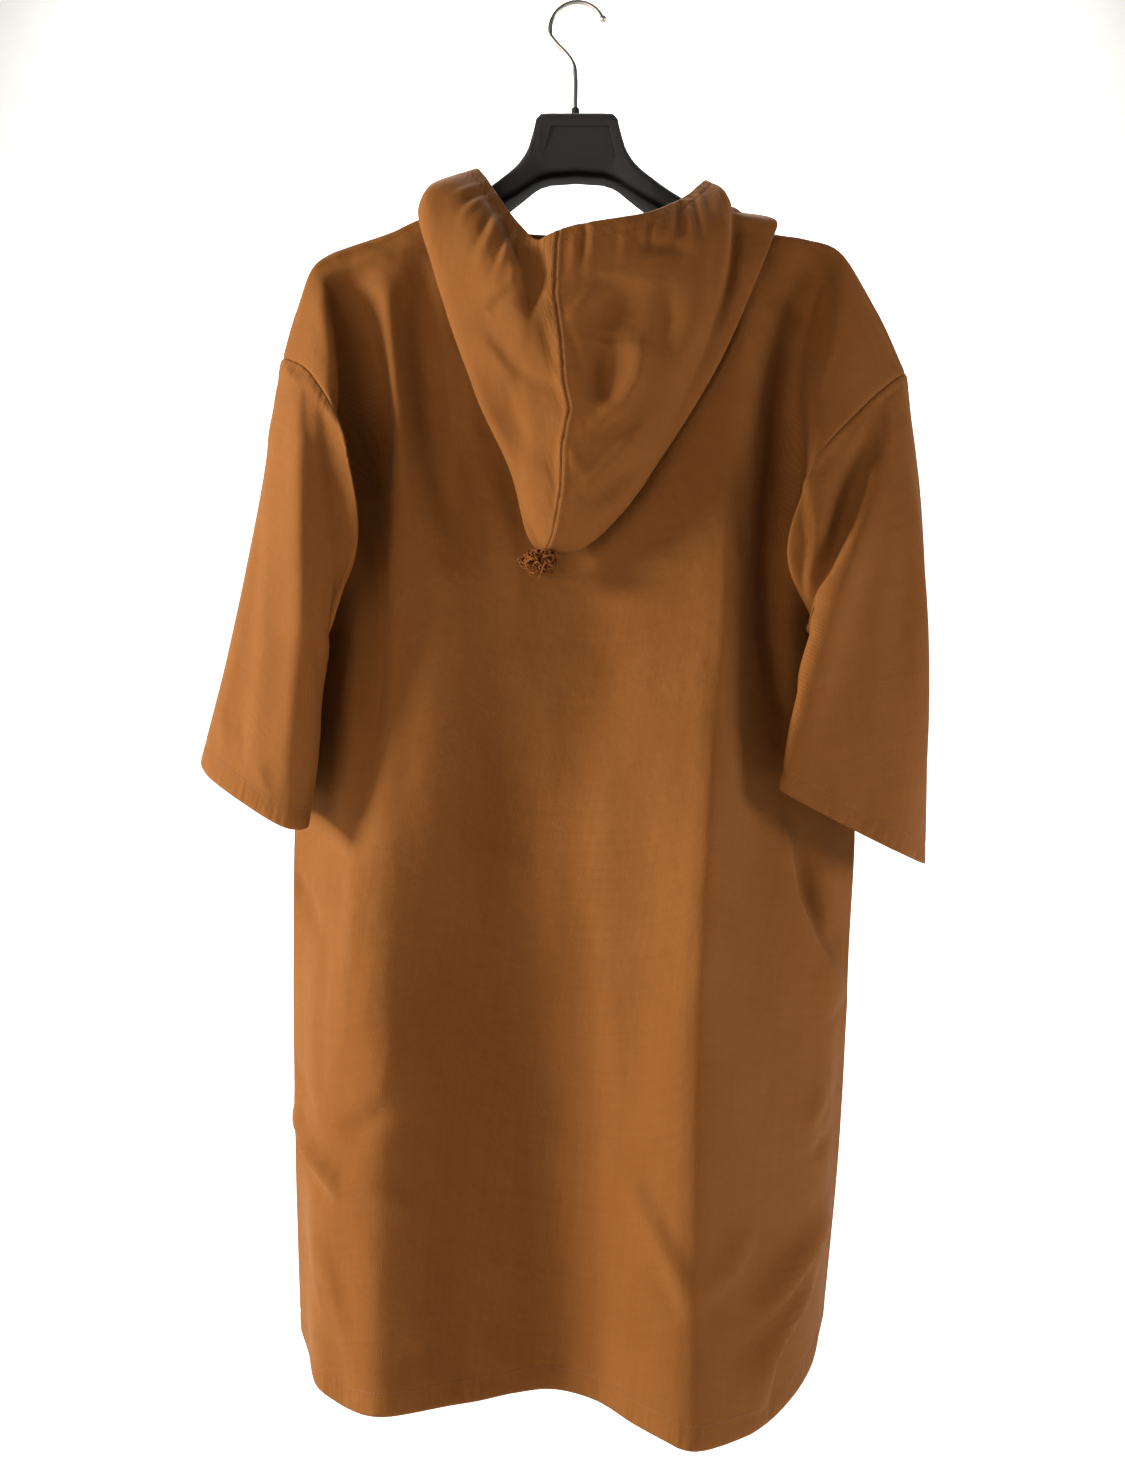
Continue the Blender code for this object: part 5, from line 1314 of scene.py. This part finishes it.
def yarn_loop(number, random):
    """The path of one loop: out from the knot, crumpled, and back to it."""
    rise = 1 - 2 * (number + 0.5) / POMPOM_LOOPS
    turn = number * math.pi * (3 - 5**0.5)
    level = math.sqrt(1 - rise * rise)
    deep, tall = POMPOM_DEEP * level * math.sin(turn), POMPOM_TALL * rise
    aim = np.array((level * math.cos(turn), deep, tall))
    reach = POMPOM_REACH * random.uniform(*LOOP_REACH)
    aside = np.cross(aim, random.normal(0, 1, 3))
    aside /= np.linalg.norm(aside)
    twist = np.cross(aim, aside) * random.uniform(-LOOP_TWIST, LOOP_TWIST)
    shares = np.linspace(*LOOP_ENDS, LOOP_STEPS)[:, None]
    bulge = np.sin(np.pi * shares)
    sideways = aside * np.sin(2 * np.pi * shares) * 0.5 + twist * bulge * bulge
    path = np.array(POMPOM_CENTRE) + reach * (aim * (LOOP_ROOT + LOOP_SPAN * bulge) + LOOP_WIDTH * sideways)
    for curls in LOOP_CURLS:
        sway, start = random.normal(0, 1, 3), random.uniform(0, 2 * math.pi)
        wave = np.sin(2 * math.pi * curls * shares + start)
        path += reach * LOOP_CURL * sway * wave * bulge / curls**0.5
    return path


def add_pompom():
    """The ball of yarn at the hood's point: crumpled loops that leave one knot and come back to it."""
    random = np.random.default_rng(POMPOM_SEED)
    points, faces = [], []
    angles = np.linspace(0, 2 * math.pi, YARN_SIDES, endpoint=False)
    for number in range(POMPOM_LOOPS):
        path = yarn_loop(number, random)
        tangents = np.gradient(path, axis=0)
        tangents /= np.linalg.norm(tangents, axis=1, keepdims=True)
        side = np.cross(tangents, np.array(OFF_THE_YARN))
        side /= np.linalg.norm(side, axis=1, keepdims=True)
        up = np.cross(side, tangents)
        faces.extend(tube_faces(len(points), LOOP_STEPS, YARN_SIDES))
        for place, out, over in zip(path, side, up):
            points.extend(place + YARN_RADIUS * (math.cos(a) * out + math.sin(a) * over) for a in angles)
    return new_piece("pompom_yarn", points, faces, YARN)


settle(add_pompom(), "pompom_yarn", "hood_pompom")


def deselect_all():
    bpy.ops.object.select_all(action="DESELECT")


def choose(made, kind, test):
    """In edit mode, selects only the faces or edges that pass a test on their middle."""
    bpy.context.tool_settings.mesh_select_mode = (False, kind == "edges", kind == "faces")
    work = bmesh.from_edit_mesh(made.data)
    for item in [*work.faces, *work.edges, *work.verts]:
        item.select = False
    for item in getattr(work, kind):
        if test(item, sum((v.co for v in item.verts), Vector()) / len(item.verts)):
            item.select_set(True)
    bmesh.update_edit_mesh(made.data)


def apply_modifiers(made):
    bpy.context.view_layer.objects.active = made
    for modifier in list(made.modifiers):
        bpy.ops.object.modifier_apply(modifier=modifier.name)


def start_shaping(name, place, turn=(0, 0, 0), scale=(1, 1, 1)):
    """Names the new primitive, applies its place, turn and scale to its mesh, and opens it for editing."""
    made = bpy.context.object
    made.name = name
    made.location, made.rotation_euler, made.scale = place, turn, scale
    bpy.ops.object.transform_apply(location=True, rotation=True, scale=True)
    bpy.ops.object.mode_set(mode="EDIT")
    bpy.ops.mesh.select_all(action="SELECT")
    return made


def end_shaping():
    """Turns all faces outwards and closes the piece."""
    bpy.ops.mesh.select_all(action="SELECT")
    bpy.ops.mesh.normals_make_consistent(inside=False)
    bpy.ops.object.mode_set(mode="OBJECT")


def shade_hard_piece(made, finish, sharp):
    """Gives a hard piece its finish, and shades it smooth but for its sharp edges."""
    made.data.materials.append(finish)
    deselect_all()
    made.select_set(True)
    bpy.context.view_layer.objects.active = made
    bpy.ops.object.shade_smooth_by_angle(angle=math.radians(sharp))


def add_hanger():
    """The moulded hanger: an end face extruded from section to section, its long edges rounded."""
    deselect_all()
    profile = curve(np.stack([HANGER_OUT, HANGER_TOP, HANGER_UNDERSIDE], axis=1), HANGER_STEPS)
    places = np.concatenate([-profile[:0:-1, 0], profile[:, 0]])
    tops, lows = (np.concatenate([profile[:0:-1, k], profile[:, k]]) for k in (1, 2))
    depths = arm_depth(places)
    depths[[0, -1]] -= END_TAPER
    bpy.ops.mesh.primitive_plane_add(size=1)
    middle, size = (places[0], 0, (tops[0] + lows[0]) / 2), (tops[0] - lows[0], 2 * depths[0], 1)
    made = start_shaping("hanger_body", middle, (0, math.pi / 2, 0), size)
    for i in range(1, len(places)):
        step = (places[i] - places[i - 1], 0, (tops[i] + lows[i] - tops[i - 1] - lows[i - 1]) / 2)
        taller = (tops[i] - lows[i]) / (tops[i - 1] - lows[i - 1])
        bpy.ops.mesh.extrude_region_move(TRANSFORM_OT_translate={"value": step})
        bpy.ops.transform.resize(
            value=(1, depths[i] / depths[i - 1], taller),
            center_override=(places[i], 0, (tops[i] + lows[i]) / 2),
        )
    end_shaping()
    weights = made.data.attributes.new("bevel_weight_edge", "FLOAT", "EDGE")
    for edge in made.data.edges:
        a, b = (made.data.vertices[i].co for i in edge.vertices)
        if abs(a.x - b.x) > SAME_PLACE:
            height = float(arm_top(a.x) - arm_underside(a.x))
            weights.data[edge.index].value = min(1.0, CORNER_SHARE * height / ARM_CORNER)
    rounding = made.modifiers.new("long_edges", "BEVEL")
    rounding.limit_method = "WEIGHT"
    rounding.width = ARM_CORNER
    rounding.segments = CORNER_STEPS
    rounding.use_clamp_overlap = False
    apply_modifiers(made)
    cut_recess(made)
    shade_hard_piece(made, PLASTIC, HANGER_SHARP)
    return made


def cut_recess(made):
    """Cuts the shallow panel of the plate on both faces: a wedge that is deepest at its upper edge."""
    for face in (1, -1):
        deselect_all()
        surface = face * PLATE_HALF_DEPTH
        bpy.ops.mesh.primitive_cube_add(size=2, location=(0, 0, 0))
        wedge = bpy.context.object
        for point in wedge.data.vertices:
            upper, right, deep = point.co.z > 0, point.co.x > 0, point.co.y * face < 0
            out = (-RECESS_DEPTH if upper else CUTTER_CLEAR) if deep else CUTTER_PROUD
            across = (RECESS_TOP if upper else RECESS_LOW)[right]
            point.co = (across, surface + face * out, RECESS_HEIGHTS[not upper])
        cut = made.modifiers.new("recess", "BOOLEAN")
        cut.operation = "DIFFERENCE"
        cut.object = wedge
        apply_modifiers(made)
        bpy.data.objects.remove(wedge)


def add_hook():
    """The wire: a small ring extruded up from the plate, aside, round the curl and out to the ball."""
    deselect_all()
    turns = np.radians(np.linspace(*HOOK_CURL_TURN, CURL_STEPS))
    across, up = HOOK_CURL_MIDDLE
    curl = [(across + HOOK_CURL * math.cos(a), up + HOOK_CURL * math.sin(a)) for a in turns]
    shaft = MM * np.array([(x, 0, z) for x, z in (*HOOK_SHAFT, curl[0])])
    rise = curve(shaft, np.linspace(0, len(shaft) - 1, SHAFT_STEPS))
    line = np.vstack([rise[:-1], [(x * MM, 0, z * MM) for x, z in curl]])
    onward = (line[-1] - line[-2]) / np.linalg.norm(line[-1] - line[-2])
    path = [*line, *[line[-1] + onward * along * MM for along, radius in HOOK_TIP]]
    radii = [HOOK_WIRE / 2] * len(line) + [radius * MM for along, radius in HOOK_TIP]
    bpy.ops.mesh.primitive_circle_add(vertices=HOOK_SIDES, radius=radii[0], fill_type="NGON")
    made = start_shaping("hook_wire", path[0])
    tangents = np.gradient(np.array(path), axis=0)
    leans = np.arctan2(tangents[:, 0], tangents[:, 2])
    for i in range(1, len(path)):
        bpy.ops.mesh.extrude_region_move(TRANSFORM_OT_translate={"value": tuple(path[i] - path[i - 1])})
        turn = (leans[i] - leans[i - 1] + math.pi) % (2 * math.pi) - math.pi
        # Without a window the operator turns the other way.
        bpy.ops.transform.rotate(value=-turn, orient_axis="Y", center_override=tuple(path[i]))
        if radii[i] != radii[i - 1]:
            bpy.ops.transform.resize(value=(radii[i] / radii[i - 1],) * 3, center_override=tuple(path[i]))
    end_shaping()
    shade_hard_piece(made, STEEL, HOOK_SHARP)
    return made


def add_collar():
    """The small plastic sleeve at the foot of the hook, with a rounded top."""
    deselect_all()
    across, low = HOOK_SHAFT[0]
    middle = (across * MM, 0, low * MM + FOOT_HEIGHT / 2)
    bpy.ops.mesh.primitive_cylinder_add(vertices=FOOT_SIDES, radius=FOOT_RADIUS, depth=FOOT_HEIGHT)
    made = start_shaping("hook_sleeve", middle)
    choose(made, "faces", lambda face, place: len(face.verts) > 4 and place.z > middle[2])
    bpy.ops.mesh.bevel(offset=FOOT_ROUND, segments=FOOT_ROUND_STEPS)
    choose(made, "faces", lambda face, place: len(face.verts) > 4)
    bpy.ops.mesh.inset(thickness=FOOT_WALL)
    bpy.ops.mesh.bridge_edge_loops()
    end_shaping()
    shade_hard_piece(made, PLASTIC, FOOT_SHARP)
    return made


settle(add_hanger(), "hanger_plastic", "hanger")
settle(add_hook(), "hook_steel", "hanger_hook")
settle(add_collar(), "hanger_plastic", "hanger_collar")


def add_stage():
    """A pale floor that turns up softly into the wall behind."""
    deselect_all()
    turn_y = WALL_Y + SWEEP
    bpy.ops.mesh.primitive_plane_add(size=1)
    middle = (0, turn_y + FLOOR_DEPTH / 2, FLOOR_Z)
    made = start_shaping("studio_sweep", middle, scale=(FLOOR_WIDTH, FLOOR_DEPTH, 1))
    choose(made, "edges", lambda edge, place: abs(place.y - turn_y) < SAME_PLACE)
    angles = [math.pi / 2 * step / SWEEP_STEPS for step in range(SWEEP_STEPS + 1)]
    moves = [
        (0, -SWEEP * (math.sin(high) - math.sin(low)), SWEEP * (math.cos(low) - math.cos(high)))
        for low, high in zip(angles, angles[1:])
    ]
    for move in (*moves, (0, 0, WALL_HEIGHT)):
        bpy.ops.mesh.extrude_region_move(TRANSFORM_OT_translate={"value": move})
    end_shaping()
    made.data.materials.append(PAINT)
    made.data.shade_smooth()


def add_light(name, place, aim, size, power, colour):
    """A soft square light that faces a point."""
    lamp = bpy.data.lights.new(name, "AREA")
    lamp.size = size
    lamp.energy = power
    lamp.color = linear(colour)[:3]
    made = bpy.data.objects.new(name, lamp)
    made.location = place
    made.rotation_euler = (Vector(aim) - Vector(place)).to_track_quat("-Z", "Y").to_euler()
    bpy.context.scene.collection.objects.link(made)


add_stage()
for light in LIGHTS:
    add_light(*light)

camera = bpy.data.cameras.new("camera")
camera.sensor_fit = "AUTO"
camera.sensor_width = SENSOR
camera.lens = SENSOR * PHOTO_FOCUS / PHOTO_SIZE[1]
holder = bpy.data.objects.new("camera", camera)
holder.location = CAMERA_PLACE
holder.rotation_euler = (math.pi / 2, 0, math.pi)
bpy.context.scene.collection.objects.link(holder)
bpy.context.scene.camera = holder

world = bpy.data.worlds.new("room")
world.use_nodes = True
room = world.node_tree.nodes["Background"]
room.inputs["Color"].default_value = linear(ROOM_COLOUR)
room.inputs["Strength"].default_value = ROOM_STRENGTH
bpy.context.scene.world = world
bpy.context.scene.view_settings.view_transform = "Standard"
